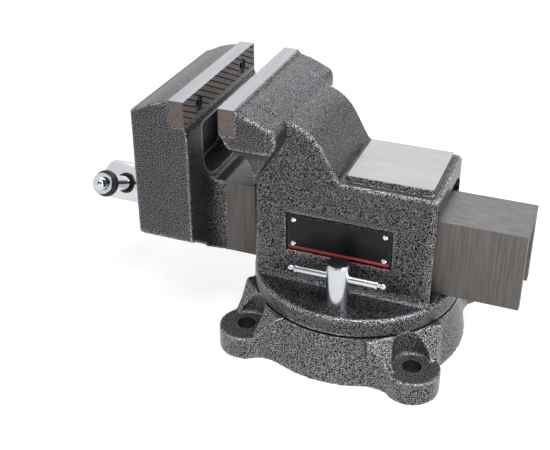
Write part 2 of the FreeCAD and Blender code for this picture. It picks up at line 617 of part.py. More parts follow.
# ---------------------------------------------------------------------------------------------
# Fixed body: turntable, box around the slide bar, fixed jaw head, hood and anvil in one casting
# ---------------------------------------------------------------------------------------------
def make_vise_body():
    crown_start = d.jaw_top - d.fixed_lip
    crown_end = fixed_plate_back + d.crown_length
    crown_level = d.jaw_top - d.crown_drop
    hood_end = crown_end + d.hood_length
    hood_level = crown_level - d.hood_drop
    foot_start = hood_end + d.hood_foot_run
    foot_level = d.platform_top + d.hood_foot_rise
    foot_end = foot_start + d.hood_foot_blend
    plate_ledge = plate_bottom - d.plate_seat_gap
    side_view = [
        (d.body_front, table_bottom),
        (d.body_rear, table_bottom),
        (d.body_rear, d.platform_top),
        (foot_end, d.platform_top, d.hood_foot_radius, "hollow"),
        (foot_start, foot_level),
        (hood_end, hood_level, d.hood_radius, "round"),
        (crown_end, crown_level, d.crown_radius, "round"),
        (fixed_plate_back, crown_start),
        (fixed_plate_back, plate_ledge),
        (d.body_front, plate_ledge),
    ]
    corner = d.body_corner
    half = d.body_half_width
    plan_view = [
        (d.body_front + corner, -half),
        (d.body_rear - corner, -half, corner, "round"),
        (d.body_rear, corner - half),
        (d.body_rear, half - corner, corner, "round"),
        (d.body_rear - corner, half),
        (d.body_front + corner, half, corner, "round"),
        (d.body_front, half - corner),
        (d.body_front, corner - half, corner, "round"),
    ]
    core = common("body_core", [
        slab("body_side_view", "XZ_Plane", side_view, -half, half),
        slab("body_plan_view", "XY_Plane", plan_view, table_bottom, d.jaw_top),
    ])
    brow = d.head_corner
    wing_side = [
        (d.body_front, d.gusset_foot),
        (d.head_back, d.head_floor + d.head_rise),
        (d.head_back, crown_level - d.head_shoulder, brow, "round"),
        (d.head_back - brow, crown_level + d.head_brow, d.crown_radius, "round"),
        (fixed_plate_back, crown_start),
        (fixed_plate_back, plate_ledge),
        (d.fixed_face + d.seat_setback, plate_ledge),
        (d.fixed_face + d.plate_thick / 2, d.head_floor),
        (d.body_front, d.head_root),
    ]
    wing_front = [
        (-jaw_end, d.head_floor, d.gusset_radius, "hollow"),
        (-half, d.gusset_foot),
        (half, d.gusset_foot, d.gusset_radius, "hollow"),
        (jaw_end, d.head_floor),
        (jaw_end, d.jaw_top),
        (-jaw_end, d.jaw_top),
    ]
    head = common("jaw_head", [
        slab("head_side_view", "XZ_Plane", wing_side, -jaw_end, jaw_end),
        slab("head_front_view", "YZ_Plane", wing_front, d.fixed_face, d.head_back),
    ])
    buttress = box("buttress",
                   (d.body_front - d.buttress_reach, -d.bar_half_width, d.bar_top + d.slide_play * 2),
                   (fixed_plate_back, d.bar_half_width, d.head_floor + d.bite))
    table = fuse("turntable", [
        rod("table_disc", d.table_radius, (0, 0, table_bottom), d.table_top - d.table_edge - table_bottom),
        cone("table_rim", d.table_radius, d.table_radius - d.table_edge,
             (0, 0, d.table_top - d.table_edge), d.table_edge),
        rod("table_spigot", spigot_radius, (0, 0, spigot_bottom), d.spigot_depth),
    ])
    block = [
        (d.anvil_front - d.anvil_draft, -d.anvil_half_width - d.anvil_draft),
        (d.anvil_rear + d.anvil_draft, -d.anvil_half_width - d.anvil_draft),
        (d.anvil_rear + d.anvil_draft, d.anvil_half_width + d.anvil_draft),
        (d.anvil_front - d.anvil_draft, d.anvil_half_width + d.anvil_draft),
    ]
    anvil_foot = outline("anvil_foot", "XY_Plane", block)
    anvil_foot.setExpression("Placement.Base.z", (d.platform_top - d.bite).text)
    anvil_face = outline("anvil_face", "XY_Plane", [
        (d.anvil_front, -d.anvil_half_width),
        (d.anvil_rear, -d.anvil_half_width),
        (d.anvil_rear, d.anvil_half_width),
        (d.anvil_front, d.anvil_half_width),
    ])
    anvil_face.setExpression("Placement.Base.z", d.anvil_top.text)
    anvil = doc.addObject("Part::Loft", "anvil_block")
    anvil.Sections = [anvil_foot, anvil_face]
    anvil.Solid = True
    anvil.Ruled = True

    channel = box("bar_channel",
                  (d.body_front - d.buttress_reach, -channel_half_width, channel_floor),
                  (d.body_rear, channel_half_width, d.bar_top + d.slide_play))
    wall_core = box("wall_core", (
        d.body_front + d.front_land, d.body_wall - half, channel_floor,
    ), (
        d.body_rear - d.rear_land, half - d.body_wall, d.bar_top + d.slide_play,
    ))
    hood_core = box("hood_core", (
        d.body_front + d.hood_core_front, -channel_half_width, d.bar_top,
    ), (
        crown_end + d.body_wall, channel_half_width, d.hood_core_top,
    ))
    spigot_hollow = rod("spigot_hollow", d.spigot_inner_radius, (0, 0, spigot_bottom), d.spigot_depth)
    recess = box("nameplate_recess", (
        d.nameplate_centre - d.nameplate_length / 2 - d.nameplate_border,
        -half,
        d.nameplate_height - d.nameplate_width / 2 - d.nameplate_border,
    ), (
        d.nameplate_centre + d.nameplate_length / 2 + d.nameplate_border,
        d.recess_depth - half,
        d.nameplate_height + d.nameplate_width / 2 + d.nameplate_border,
    ))
    tools = [channel, wall_core, hood_core, spigot_hollow, recess]
    for number, (x, z) in enumerate(rivet_places()):
        tools.append(rod(f"rivet_hole_{number}", d.rivet_shank_radius + d.fit_gap,
                         (x, d.recess_depth - half, z), d.rivet_length, ALONG_Y))
    for number, y in enumerate(screw_sides):
        tools.append(rod(f"fixed_screw_hole_{number}", d.screw_shank_radius + d.fit_gap,
                         (fixed_plate_back, y, screw_level), screw_reach + d.tap_spare, ALONG_X))
    for name, side in lock_sides:
        tools.append(rod(f"lock_hole_{name}", d.lock_shank_radius + d.shaft_play,
                         (d.lock_axis_x, side * d.lock_axis_y, spigot_bottom), d.table_top - spigot_bottom))
    tools.append(rod("nut_bolt_hole", d.nut_bolt_radius + d.screw_play, (nut_middle, 0, spigot_bottom),
                     channel_floor - spigot_bottom))
    tools.append(rod("nut_bolt_sink", d.nut_washer_radius + d.screw_play, (nut_middle, 0, spigot_bottom),
                     nut_bolt_seat - spigot_bottom))
    shell = fuse("body_solid", [core, head, buttress, table, anvil])
    finish(cut("body_machined", shell, tools), "vise_body")


# ---------------------------------------------------------------------------------------------
# Moving jaw: block, hollow slide bar, painted neck and thrust boss in one casting
# ---------------------------------------------------------------------------------------------
def make_moving_jaw():
    brow = d.block_brow_radius
    corner = d.block_corner
    crown_end = block_nose + d.block_brow_run
    crown_level = d.jaw_top - d.block_brow_drop
    plate_ledge = plate_bottom - d.plate_seat_gap
    side_view = [
        (block_nose + corner, d.bar_bottom),
        (block_rear, d.bar_bottom),
        (block_rear, plate_ledge - d.block_ledge),
        (moving_face - d.seat_setback, plate_ledge),
        (moving_plate_back, plate_ledge),
        (moving_plate_back, d.jaw_top - d.moving_lip, d.block_crown_radius, "round"),
        (crown_end, crown_level, brow, "round"),
        (block_nose, crown_level - brow),
        (block_nose, d.bar_bottom + corner, corner, "round"),
    ]
    bulge_radius = (jaw_end * jaw_end + d.block_bulge * d.block_bulge) / (d.block_bulge * 2)
    plan_view = [
        (block_rear, -jaw_end),
        (block_rear, jaw_end),
        (block_front, jaw_end, bulge_radius, "round"),
        (block_front, -jaw_end),
    ]
    front_view = [
        (-d.bar_half_width, d.bar_bottom),
        (d.bar_half_width, d.bar_bottom),
        (jaw_end - corner, d.block_floor, corner, "round"),
        (jaw_end, d.block_floor + corner),
        (jaw_end, d.jaw_top),
        (-jaw_end, d.jaw_top),
        (-jaw_end, d.block_floor + corner, corner, "round"),
        (corner - jaw_end, d.block_floor),
    ]
    block = common("block", [
        slab("block_side_view", "XZ_Plane", side_view, -jaw_end, jaw_end),
        slab("block_plan_view", "XY_Plane", plan_view, d.bar_bottom, d.jaw_top),
        slab("block_front_view", "YZ_Plane", front_view, block_nose, block_rear),
    ])
    bar = box("bar", (block_front + corner, -d.bar_half_width, d.bar_bottom),
              (d.bar_end, d.bar_half_width, d.bar_top))
    neck_end = block_rear + d.neck_length
    neck_side = d.bar_half_width + d.neck_cover
    neck_top = d.bar_top + d.neck_cover
    ear = neck_side + d.neck_spread
    neck_plan = [
        (block_rear - d.bite, -ear),
        (block_rear, -ear, d.neck_radius, "hollow"),
        (neck_end, -neck_side),
        (neck_end, neck_side, d.neck_radius, "hollow"),
        (block_rear, ear),
        (block_rear - d.bite, ear),
    ]
    neck_front = [
        (-neck_side, d.bar_bottom),
        (neck_side, d.bar_bottom),
        (jaw_end, d.block_floor),
        (jaw_end, d.neck_ear_height),
        (neck_side, neck_top),
        (-neck_side, neck_top),
        (-jaw_end, d.neck_ear_height),
        (-jaw_end, d.block_floor),
    ]
    neck = common("neck", [
        slab("neck_plan_view", "XY_Plane", neck_plan, d.bar_bottom, d.jaw_top),
        slab("neck_front_view", "YZ_Plane", neck_front, block_rear - d.bite, neck_end),
    ])
    boss = rod("thrust_boss", d.boss_radius, (boss_face, 0, d.spindle_height),
               d.boss_height + d.block_bulge + d.bite, ALONG_X)
    shell = fuse("jaw_solid", [block, bar, neck, boss])

    rim = d.pocket_corner
    width = d.pocket_half_width
    pocket_front = [
        (rim - width, d.pocket_floor),
        (width - rim, d.pocket_floor, rim, "round"),
        (width, d.pocket_floor + rim),
        (width, d.pocket_roof),
        (-width, d.pocket_roof),
        (-width, d.pocket_floor + rim, rim, "round"),
    ]
    tools = [
        slab("jaw_pocket", "YZ_Plane", pocket_front, block_rear - d.pocket_depth, block_rear),
        box("bar_hollow", (inner_wall, -bar_hollow_half_width, d.bar_bottom),
            (d.bar_end, bar_hollow_half_width, d.bar_top - d.bar_wall)),
        rod("spindle_bore", d.journal_radius + d.shaft_play, (boss_face, 0, d.spindle_height),
            inner_wall - boss_face, ALONG_X),
    ]
    for number, y in enumerate(screw_sides):
        tools.append(rod(f"moving_screw_hole_{number}", d.screw_shank_radius + d.fit_gap,
                         (moving_plate_back - screw_reach - d.tap_spare, y, screw_level),
                         screw_reach + d.tap_spare, ALONG_X))
    finish(cut("jaw_machined", shell, tools), "moving_jaw")


# ---------------------------------------------------------------------------------------------
# Jaw plates and their screws
# ---------------------------------------------------------------------------------------------
def make_jaw_plate(label, face, into):
    """A hardened plate whose gripping face lies at X = face; into is +1 when the casting is behind it
    on the + side. Its screw heads sit in counterbores."""
    body = new_body(label, (face if into > 0 else face - d.plate_thick, 0, 0))
    pad(body, outline(f"{label}_face", "YZ_Plane", [
        (-jaw_end, plate_bottom),
        (jaw_end, plate_bottom),
        (jaw_end, d.jaw_top),
        (-jaw_end, d.jaw_top),
    ], body), d.plate_thick - d.plate_seat_gap)
    centres = [(y, screw_level) for y in screw_sides]
    pocket(body, circles(f"{label}_holes", "YZ_Plane", centres, d.screw_shank_radius + d.screw_play, body),
           d.plate_thick, backwards=True)
    sink = d.screw_head_height + d.screw_sink
    lift = 0 if into > 0 else d.plate_thick - d.plate_seat_gap - sink
    sink_radius = d.screw_head_radius + d.screw_play
    sinks = circles(f"{label}_sinks", "YZ_Plane", centres, sink_radius, body, lift)
    pocket(body, sinks, sink, backwards=True)
    if into < 0:
        body.setExpression("Placement.Base.x", (face - d.plate_thick + d.plate_seat_gap).text)
    return body


def make_jaw_screws(label, face, into):
    """The two socket-head screws of a plate."""
    screws = []
    for number, y in enumerate(screw_sides):
        crown = face + into * d.screw_sink
        seat = crown + into * d.screw_head_height
        point = seat + into * d.screw_length
        head_start, shank_start, socket_start = crown, seat, crown
        if into < 0:
            head_start, shank_start = seat, point
            socket_start = crown - d.screw_head_height / 2
        name = f"{label}_{number}"
        solid = fuse(f"{name}_solid", [
            rod(f"{name}_head", d.screw_head_radius, (head_start, y, screw_level),
                d.screw_head_height, ALONG_X),
            rod(f"{name}_shank", d.screw_shank_radius, (shank_start, y, screw_level),
                d.screw_length, ALONG_X),
        ])
        socket = doc.addObject("Part::Prism", f"{name}_socket")
        socket.Polygon = 6
        socket.setExpression("Circumradius", (d.screw_socket_across / root(size(3))).text)
        socket.setExpression("Height", (d.screw_head_height / 2).text)
        place(socket, (socket_start, y, screw_level), ALONG_X)
        screws.append(cut(f"{name}_screw", solid, [socket]))
    return finish(group(f"{label}_group", screws), label)


# ---------------------------------------------------------------------------------------------
# Nameplate and its drive rivets
# ---------------------------------------------------------------------------------------------
def make_nameplate():
    plate_back = d.recess_depth - d.body_half_width - d.fit_gap
    across = d.nameplate_length / 2
    upright = d.nameplate_width / 2
    body = new_body("nameplate", (d.nameplate_centre, plate_back, d.nameplate_height))
    pad(body, outline("nameplate_face", "XZ_Plane", [
        (-across, -upright),
        (across, -upright),
        (across, upright),
        (-across, upright),
    ], body), d.nameplate_thick)
    centres = [(side * (across - d.rivet_inset), level * (upright - d.rivet_inset))
               for side in (-1, 1) for level in (-1, 1)]
    pocket(body, circles("nameplate_holes", "XZ_Plane", centres, d.rivet_shank_radius + d.fit_gap, body),
           d.nameplate_thick * THROUGH, both_ways=True)
    rivets = []
    for number, (x, z) in enumerate(rivet_places()):
        face = plate_back - d.nameplate_thick
        name = f"rivet_{number}"
        rivets.append(fuse(name, [
            rod(f"{name}_shank", d.rivet_shank_radius, (x, face, z), d.rivet_length, ALONG_Y),
            cone(f"{name}_head", d.rivet_crown_radius, d.rivet_head_radius,
                 (x, face - d.rivet_head_height, z), d.rivet_head_height, ALONG_Y),
        ]))
    finish(group("rivet_group", rivets), "nameplate_rivets")


# ---------------------------------------------------------------------------------------------
# Spindle nut inside the body, held from below by one bolt
# ---------------------------------------------------------------------------------------------
def make_spindle_nut():
    half = d.nut_half_width
    block = fuse("nut_solid", [
        box("nut_block", (d.nut_front, -half, channel_floor),
            (d.nut_front + d.nut_length, half, d.spindle_height)),
        rod("nut_crown", d.nut_crown_radius, (d.nut_front, 0, d.spindle_height), d.nut_length, ALONG_X),
    ])
    finish(cut("nut_machined", block, [
        rod("nut_thread", d.thread_radius + d.shaft_play, (d.nut_front, 0, d.spindle_height), d.nut_length,
            ALONG_X),
        rod("nut_bolt_thread", d.nut_bolt_radius + d.fit_gap, (nut_middle, 0, channel_floor),
            d.nut_bolt_reach + d.tap_spare),
    ]), "spindle_nut")
    bolt_seat = nut_bolt_seat - d.nut_washer_thick
    washer = new_body("nut_bolt_washer", (nut_middle, 0, bolt_seat))
    turned(washer, "nut_washer_section", [
        (d.nut_bolt_radius + d.screw_play, 0),
        (d.nut_washer_radius, 0),
        (d.nut_washer_radius, d.nut_washer_thick),
        (d.nut_bolt_radius + d.screw_play, d.nut_washer_thick),
    ])
    head_bottom = bolt_seat - d.nut_bolt_head_height
    hexagon = doc.addObject("Part::Prism", "nut_bolt_head")
    hexagon.Polygon = 6
    hexagon.setExpression("Circumradius", d.nut_bolt_head_radius.text)
    hexagon.setExpression("Height", d.nut_bolt_head_height.text)
    place(hexagon, (nut_middle, 0, head_bottom))
    shank = rod("nut_bolt_shank", d.nut_bolt_radius, (nut_middle, 0, head_bottom),
                channel_floor + d.nut_bolt_reach - head_bottom)
    finish(fuse("nut_bolt_solid", [hexagon, shank]), "spindle_nut_bolt")


# ---------------------------------------------------------------------------------------------
# Spindle with what turns on it
# ---------------------------------------------------------------------------------------------
def make_spindle():
    body = new_body("spindle", (head_end, 0, d.spindle_height))
    length = d.spindle_end - head_end
    journal_end = d.head_length + d.journal_length
    turned(body, "spindle_section", [
        (0, 0),
        (length, 0),
        (length, d.thread_radius - d.thread_chamfer),
        (length - d.thread_chamfer, d.thread_radius),
        (journal_end, d.thread_radius),
        (journal_end, d.journal_radius),
        (d.head_length, d.journal_radius),
        (d.head_length, d.head_radius),
        (d.head_round, d.head_radius, d.head_round, "round"),
        (0, d.head_radius - d.head_round),
    ], axis="H_Axis")
    hole_radius = d.handle_radius + d.handle_play
    centre = [(d.handle_hole_setback, 0)]
    cross = circles("handle_hole", "XY_Plane", centre, hole_radius, body)
    tilt_sketch(cross, 0)
    pocket(body, cross, d.head_radius * THROUGH, both_ways=True)
    for name, side in (("upper", 1), ("lower", -1)):
        seat = circles(f"ring_seat_{name}", "XY_Plane", centre, ring_seat_radius, body)
        tilt_sketch(seat, side * ring_seat_reach)
        pocket(body, seat, d.head_radius, backwards=side > 0)
    pin_hole = circles("pin_hole", "XY_Plane", [(collar_middle - head_end, 0)],
                       d.pin_radius + d.fit_gap, body)
    pocket(body, pin_hole, d.head_radius * THROUGH, both_ways=True)


def tilt_sketch(sketch, reach):
    """Turn a body's sketch square to the handle, a distance up the handle from the spindle's axis."""
    turn = 90 - d.handle_tilt
    shift = (size(0), -(reach * cosine(d.handle_tilt)), reach * sine(d.handle_tilt))
    sketch.AttachmentOffset = Placement(
        Vector(*[amount.value for amount in shift]), Rotation(Vector(1, 0, 0), turn.value))
    sketch.setExpression("AttachmentOffset.Rotation.Angle", turn.text)
    for axis, amount in zip("yz", shift[1:]):
        sketch.setExpression(f"AttachmentOffset.Base.{axis}", amount.text)


def make_hole_rings():
    """Rubber rings in both mouths of the handle hole; they hold the handle where it is put."""
    rings = []
    for name, side in (("upper", 1), ("lower", -1)):
        ring = doc.addObject("Part::Torus", f"hole_ring_{name}")
        ring.setExpression("Radius1", (d.handle_radius + d.ring_section_radius + d.fit_gap).text)
        ring.setExpression("Radius2", d.ring_section_radius.text)
        along_handle(ring, side * (ring_seat_reach + d.ring_section_radius + d.fit_gap))
        rings.append(ring)
    finish(group("hole_ring_group", rings), "handle_hole_rings")


def make_thrust_parts():
    washer = new_body("thrust_washer", (boss_face - d.seat_gap - d.washer_thick, 0, d.spindle_height))
    turned(washer, "thrust_washer_section", [
        (0, d.journal_radius + d.shaft_play),
        (d.washer_thick, d.journal_radius + d.shaft_play),
        (d.washer_thick, d.washer_radius),
        (0, d.washer_radius),
    ], axis="H_Axis")
    collar = new_body("retaining_collar", (collar_middle - d.collar_length / 2, 0, d.spindle_height))
    turned(collar, "retaining_collar_section", [
        (0, d.thread_radius + d.fit_gap),
        (d.collar_length, d.thread_radius + d.fit_gap),
        (d.collar_length, d.collar_radius),
        (0, d.collar_radius),
    ], axis="H_Axis")
    hole = circles("collar_pin_hole", "XY_Plane", [(d.collar_length / 2, 0)], d.pin_radius + d.fit_gap,
                   collar)
    pocket(collar, hole, d.collar_radius * THROUGH, both_ways=True)
    pin = new_body("collar_pin", (collar_middle, 0, d.spindle_height - d.collar_radius))
    turned(pin, "collar_pin_section", [
        (d.pin_bore, d.pin_inset),
        (d.pin_radius, d.pin_inset),
        (d.pin_radius, d.collar_radius * 2 - d.pin_inset),
        (d.pin_bore, d.collar_radius * 2 - d.pin_inset),
    ])


def make_backlash_spring():
    """A helical compression spring between the jaw's inner wall and the retaining collar."""
    wire = d.spring_wire_radius.value
    start = inner_wall.value + d.seat_gap.value + wire
    end = (collar_middle - d.collar_length / 2 - d.fit_gap).value - wire
    coil_radius = (d.journal_radius + d.seat_gap).value + wire
    pitch = (end - start) / d.spring_turns.value
    helix = Part.makeHelix(pitch, end - start, coil_radius)
    section = Part.Wire(Part.makeCircle(wire, Vector(coil_radius, 0, 0), Vector(0, 1, 0)))
    coil = Part.Wire(helix.Edges).makePipeShell([section], True, True)
    spring = doc.addObject("Part::Feature", "backlash_spring")
    spring.Shape = coil
    spring.Placement = Placement(Vector(start, 0, d.spindle_height.value), ALONG_X)
    finish(spring, "backlash_spring")


def tilted(distance):
    """A point on the handle's axis, a distance up it from the spindle's axis."""
    return (handle_x, -(distance * cosine(d.handle_tilt)), d.spindle_height + distance * sine(d.handle_tilt))


def along_handle(item, distance, side=1):
    """Stand an item made along Z on the handle's axis, pointing to its upper end (1) or lower end (-1)."""
    turn = 90 - d.handle_tilt if side > 0 else -(90 + d.handle_tilt)
    place(item, tilted(distance), Rotation(Vector(1, 0, 0), turn.value))
    item.setExpression("Placement.Rotation.Angle", turn.text)


def make_handle():
    bar = doc.addObject("Part::Cylinder", "handle_rod")
    bar.setExpression("Radius", d.handle_radius.text)
    bar.setExpression("Height", (d.handle_low_reach + d.handle_high_reach).text)
    along_handle(bar, -d.handle_low_reach)
    finish(bar, "handle_bar")
    for name, reach, side in (("upper", d.handle_high_reach, 1), ("lower", d.handle_low_reach, -1)):
        knob = doc.addObject("PartDesign::Body", f"handle_knob_{name}")
        dome = d.knob_dome_radius
        dome_foot = d.knob_flange_length + d.knob_neck_length
        turned(knob, f"knob_{name}_section", [
            (0, 0),
            (d.knob_radius, 0),
            (d.knob_radius, d.knob_flange_length),
            (d.knob_neck_radius, d.knob_flange_length),
            (d.knob_neck_radius, dome_foot),
            (dome, dome_foot),
            (dome, d.knob_length - dome, dome, "round"),
            (0, d.knob_length),
        ])
        along_handle(knob, side * reach, side)
        finish(knob, f"handle_knob_{name}")
        buffer = doc.addObject("PartDesign::Body", f"handle_buffer_{name}")
        inner = d.handle_radius + d.fit_gap
        bulge = d.buffer_width / 2
        turned(buffer, f"buffer_{name}_section", [
            (inner, -bulge),
            (d.buffer_radius - bulge, -bulge, bulge, "round"),
            (d.buffer_radius, 0, bulge, "round"),
            (d.buffer_radius - bulge, bulge),
            (inner, bulge),
        ])
        along_handle(buffer, side * (reach - bulge - d.fit_gap))
        finish(buffer, f"handle_buffer_{name}")


# ---------------------------------------------------------------------------------------------
# Swivel locks: screw, sliding T-bar and the nut that grips under the base's lip
# ---------------------------------------------------------------------------------------------
def make_lock(name, side):
    screw = new_body(f"lock_screw_{name}", (d.lock_axis_x, side * d.lock_axis_y, 0))
    head_bottom = d.table_top + d.seat_gap
    turned(screw, f"lock_section_{name}", [
        (0, d.lock_shank_end),
        (d.lock_shank_radius - d.lock_shank_chamfer, d.lock_shank_end),
        (d.lock_shank_radius, d.lock_shank_end + d.lock_shank_chamfer),
        (d.lock_shank_radius, head_bottom),
        (d.lock_head_radius, head_bottom),
        (d.lock_head_radius, d.lock_head_top - d.lock_head_chamfer),
        (d.lock_head_radius - d.lock_head_chamfer, d.lock_head_top),
        (0, d.lock_head_top),
    ])
    hole = circles(f"lock_bar_hole_{name}", "YZ_Plane", [(0, d.lock_bar_height)],
                   d.lock_bar_radius + d.shaft_play, screw)
    pocket(screw, hole, d.lock_head_radius * THROUGH, both_ways=True)

    bar_middle = (d.lock_axis_x + d.lock_bar_slip, side * d.lock_axis_y, d.lock_bar_height)
    bar = new_body(f"lock_bar_{name}", bar_middle)
    end = d.lock_bar_length / 2
    ball = d.lock_ball_radius
    ball_foot = end - ball - root(ball * ball - d.lock_neck_radius * d.lock_neck_radius)
    shoulder = ball_foot - d.lock_neck_length
    upset = shoulder - d.lock_upset_width
    turned(bar, f"lock_bar_section_{name}", [
        (-end, 0),
        (end, 0, ball, "round"),
        (ball_foot, d.lock_neck_radius),
        (shoulder, d.lock_neck_radius),
        (shoulder, d.lock_upset_radius),
        (upset, d.lock_upset_radius),
        (upset, d.lock_bar_radius),
        (-upset, d.lock_bar_radius),
        (-upset, d.lock_upset_radius),
        (-shoulder, d.lock_upset_radius),
        (-shoulder, d.lock_neck_radius),
        (-ball_foot, d.lock_neck_radius, ball, "round"),
    ], axis="H_Axis")

    near, far = (d.lock_nut_inner, d.lock_nut_outer) if side > 0 else (-d.lock_nut_outer, -d.lock_nut_inner)
    top = lip_bottom - d.seat_gap
    block = box(f"lock_nut_block_{name}",
                (d.lock_axis_x - d.lock_nut_half_length, near, top - d.lock_nut_thick),
                (d.lock_axis_x + d.lock_nut_half_length, far, top))
    thread = rod(f"lock_nut_thread_{name}", d.lock_shank_radius + d.shaft_play,
                 (d.lock_axis_x, side * d.lock_axis_y, top - d.lock_nut_thick), d.lock_nut_thick)
    finish(cut(f"lock_nut_machined_{name}", block, [thread]), f"lock_nut_{name}")


# ---------------------------------------------------------------------------------------------
# Build, check and write
# ---------------------------------------------------------------------------------------------
make_base()
make_vise_body()
make_moving_jaw()
make_jaw_plate("fixed_jaw_plate", d.fixed_face, 1)
make_jaw_plate("moving_jaw_plate", moving_face, -1)
make_jaw_screws("fixed_jaw_screws", d.fixed_face, 1)
make_jaw_screws("moving_jaw_screws", moving_face, -1)
make_nameplate()
make_spindle_nut()
make_spindle()
make_thrust_parts()
make_backlash_spring()
make_hole_rings()
make_handle()
for lock_name, lock_side in lock_sides:
    make_lock(lock_name, lock_side)
doc.recompute()

for item in doc.Objects:
    if "Invalid" in item.State or "Error" in item.State:
        raise RuntimeError(f"{item.Label} could not be built: {item.State}")
for item in subparts:
    if item.Shape.isNull() or not item.Shape.isValid():
        raise RuntimeError(f"{item.Label} is not a valid solid")
for item in subparts:
    item.Shape.exportStep(f"parts/{item.Label}.step")
    print(f"{item.Label}: {len(item.Shape.Solids)} solid(s), {item.Shape.Volume / 1000:.1f} cm3")
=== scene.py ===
# %% [markdown]
# # A bench vise on a swivel base
#
# The vise is three iron castings under a hammered paint, with ground steel jaw plates, a bare
# slide bar, bright fittings and a small black nameplate. The solids are loaded first and stay as
# they are. Each step below gives one piece or one finish the look of the real thing.

import json
import math

import bmesh
import bpy
from mathutils import Matrix, Vector

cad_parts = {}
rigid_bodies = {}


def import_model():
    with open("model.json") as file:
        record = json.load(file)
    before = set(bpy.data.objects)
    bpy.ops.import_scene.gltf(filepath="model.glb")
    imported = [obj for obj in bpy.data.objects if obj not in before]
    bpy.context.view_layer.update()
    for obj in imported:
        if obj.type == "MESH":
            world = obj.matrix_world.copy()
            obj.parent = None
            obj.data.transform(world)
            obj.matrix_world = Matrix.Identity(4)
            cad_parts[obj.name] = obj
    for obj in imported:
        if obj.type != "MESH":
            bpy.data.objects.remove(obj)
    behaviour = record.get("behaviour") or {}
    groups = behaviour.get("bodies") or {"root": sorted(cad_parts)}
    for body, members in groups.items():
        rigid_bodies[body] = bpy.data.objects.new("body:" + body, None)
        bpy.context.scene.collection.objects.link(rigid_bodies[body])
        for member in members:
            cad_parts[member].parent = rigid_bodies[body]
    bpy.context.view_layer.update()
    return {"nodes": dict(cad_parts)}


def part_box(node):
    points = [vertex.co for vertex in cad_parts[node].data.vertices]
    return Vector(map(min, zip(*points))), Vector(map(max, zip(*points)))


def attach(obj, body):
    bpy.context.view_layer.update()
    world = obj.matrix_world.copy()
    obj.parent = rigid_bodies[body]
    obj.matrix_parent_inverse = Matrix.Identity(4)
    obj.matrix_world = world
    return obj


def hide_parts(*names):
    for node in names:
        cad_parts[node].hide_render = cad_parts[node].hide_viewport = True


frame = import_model()
MM = 0.001
print("nodes loaded:", len(frame["nodes"]))

# %% [markdown]
# ## The camera
#
# The vise is seen from in front of its long side, from a little above and to the right. The lens
# is long, so the upright edges stay nearly parallel. The shift moves the picture's centre without
# turning the camera.

# %% Camera
AZIMUTH = math.radians(21.22)
ELEVATION = math.radians(28.56)
LENS = 62.73
CAMERA_PLACE = (0.20348, -0.71350, 0.54401)
camera_data = bpy.data.cameras.new("studio_camera")
camera_data.lens = LENS
camera_data.shift_x = -0.01435
camera_data.shift_y = -0.0739
camera = bpy.data.objects.new("studio_camera", camera_data)
camera.location = CAMERA_PLACE
camera.rotation_euler = (math.radians(90) - ELEVATION, 0, AZIMUTH)
bpy.context.scene.collection.objects.link(camera)
bpy.context.scene.camera = camera
print("camera at", tuple(round(c, 3) for c in camera.location))

# %% [markdown]
# ## Nodes
#
# Every finish here is a small tree of nodes, made in code. Four helpers keep that readable: one
# starts an empty material, one adds a node with its settings, one joins two nodes, and one lays a
# colour ramp over a pattern.


# %% Node helpers
def new_material(name):
    """An empty node material and its node tree, with an output."""
    material = bpy.data.materials.new(name)
    material.use_nodes = True
    tree = material.node_tree
    tree.nodes.clear()
    tree.nodes.new("ShaderNodeOutputMaterial")
    return material, tree


def node(tree, kind, **settings):
    """Add a node. A setting that names an input sets it, and any other sets a property."""
    made = tree.nodes.new(kind)
    for key, value in settings.items():
        if key in made.inputs:
            made.inputs[key].default_value = value
        else:
            setattr(made, key, value)
    return made


def link(tree, source, target, output=0, socket=0):
    """Join one node's output to another's input, each by name or number."""
    tree.links.new(source.outputs[output], target.inputs[socket])


def ramp(tree, source, stops, output=0):
    """A colour ramp over a pattern; stops are (position, colour) pairs."""
    made = node(tree, "ShaderNodeValToRGB")
    elements = made.color_ramp.elements
    elements.remove(elements[-1])
    for index, (position, colour) in enumerate(stops):
        element = elements[0] if index == 0 else elements.new(position)
        element.position = position
        element.color = (*colour, 1)
    link(tree, source, made, output, "Fac")
    return made


# %% [markdown]
# ## The room
#
# Metal shows what stands round it, so the room matters as much as the lamps. The floor and the
# room are pale. What the camera and shiny metal see of them is lifted to white with the Light
# Path node, which adds no light to the vise. High up in front, shiny metal sees a dark curtain
# instead of the white wall, so that bright fittings get a dark streak and bare steel keeps its
# grey.

# %% Room
CURTAIN_SIDE = Vector((0.2, -0.80, 0.60)).normalized()
WHITE_WALL = (1, 1, 1)
DARK_CURTAIN = (0.05, 0.053, 0.06)


def seen_directly(tree):
    """1 for rays from the camera, off shiny metal or through glass, and 0 for those that light."""
    path = node(tree, "ShaderNodeLightPath")
    shiny = node(tree, "ShaderNodeMath", operation="MAXIMUM")
    link(tree, path, shiny, "Is Camera Ray", 0)
    link(tree, path, shiny, "Is Glossy Ray", 1)
    either = node(tree, "ShaderNodeMath", operation="MAXIMUM")
    link(tree, shiny, either, 0, 0)
    link(tree, path, either, "Is Transmission Ray", 1)
    return either


def lit_or_seen(tree, lit, seen):
    """Choose between what lights the vise and what is seen."""
    choose = node(tree, "ShaderNodeMixShader")
    link(tree, seen_directly(tree), choose, 0, 0)
    link(tree, lit, choose, 0, 1)
    link(tree, seen, choose, 0, 2)
    return choose


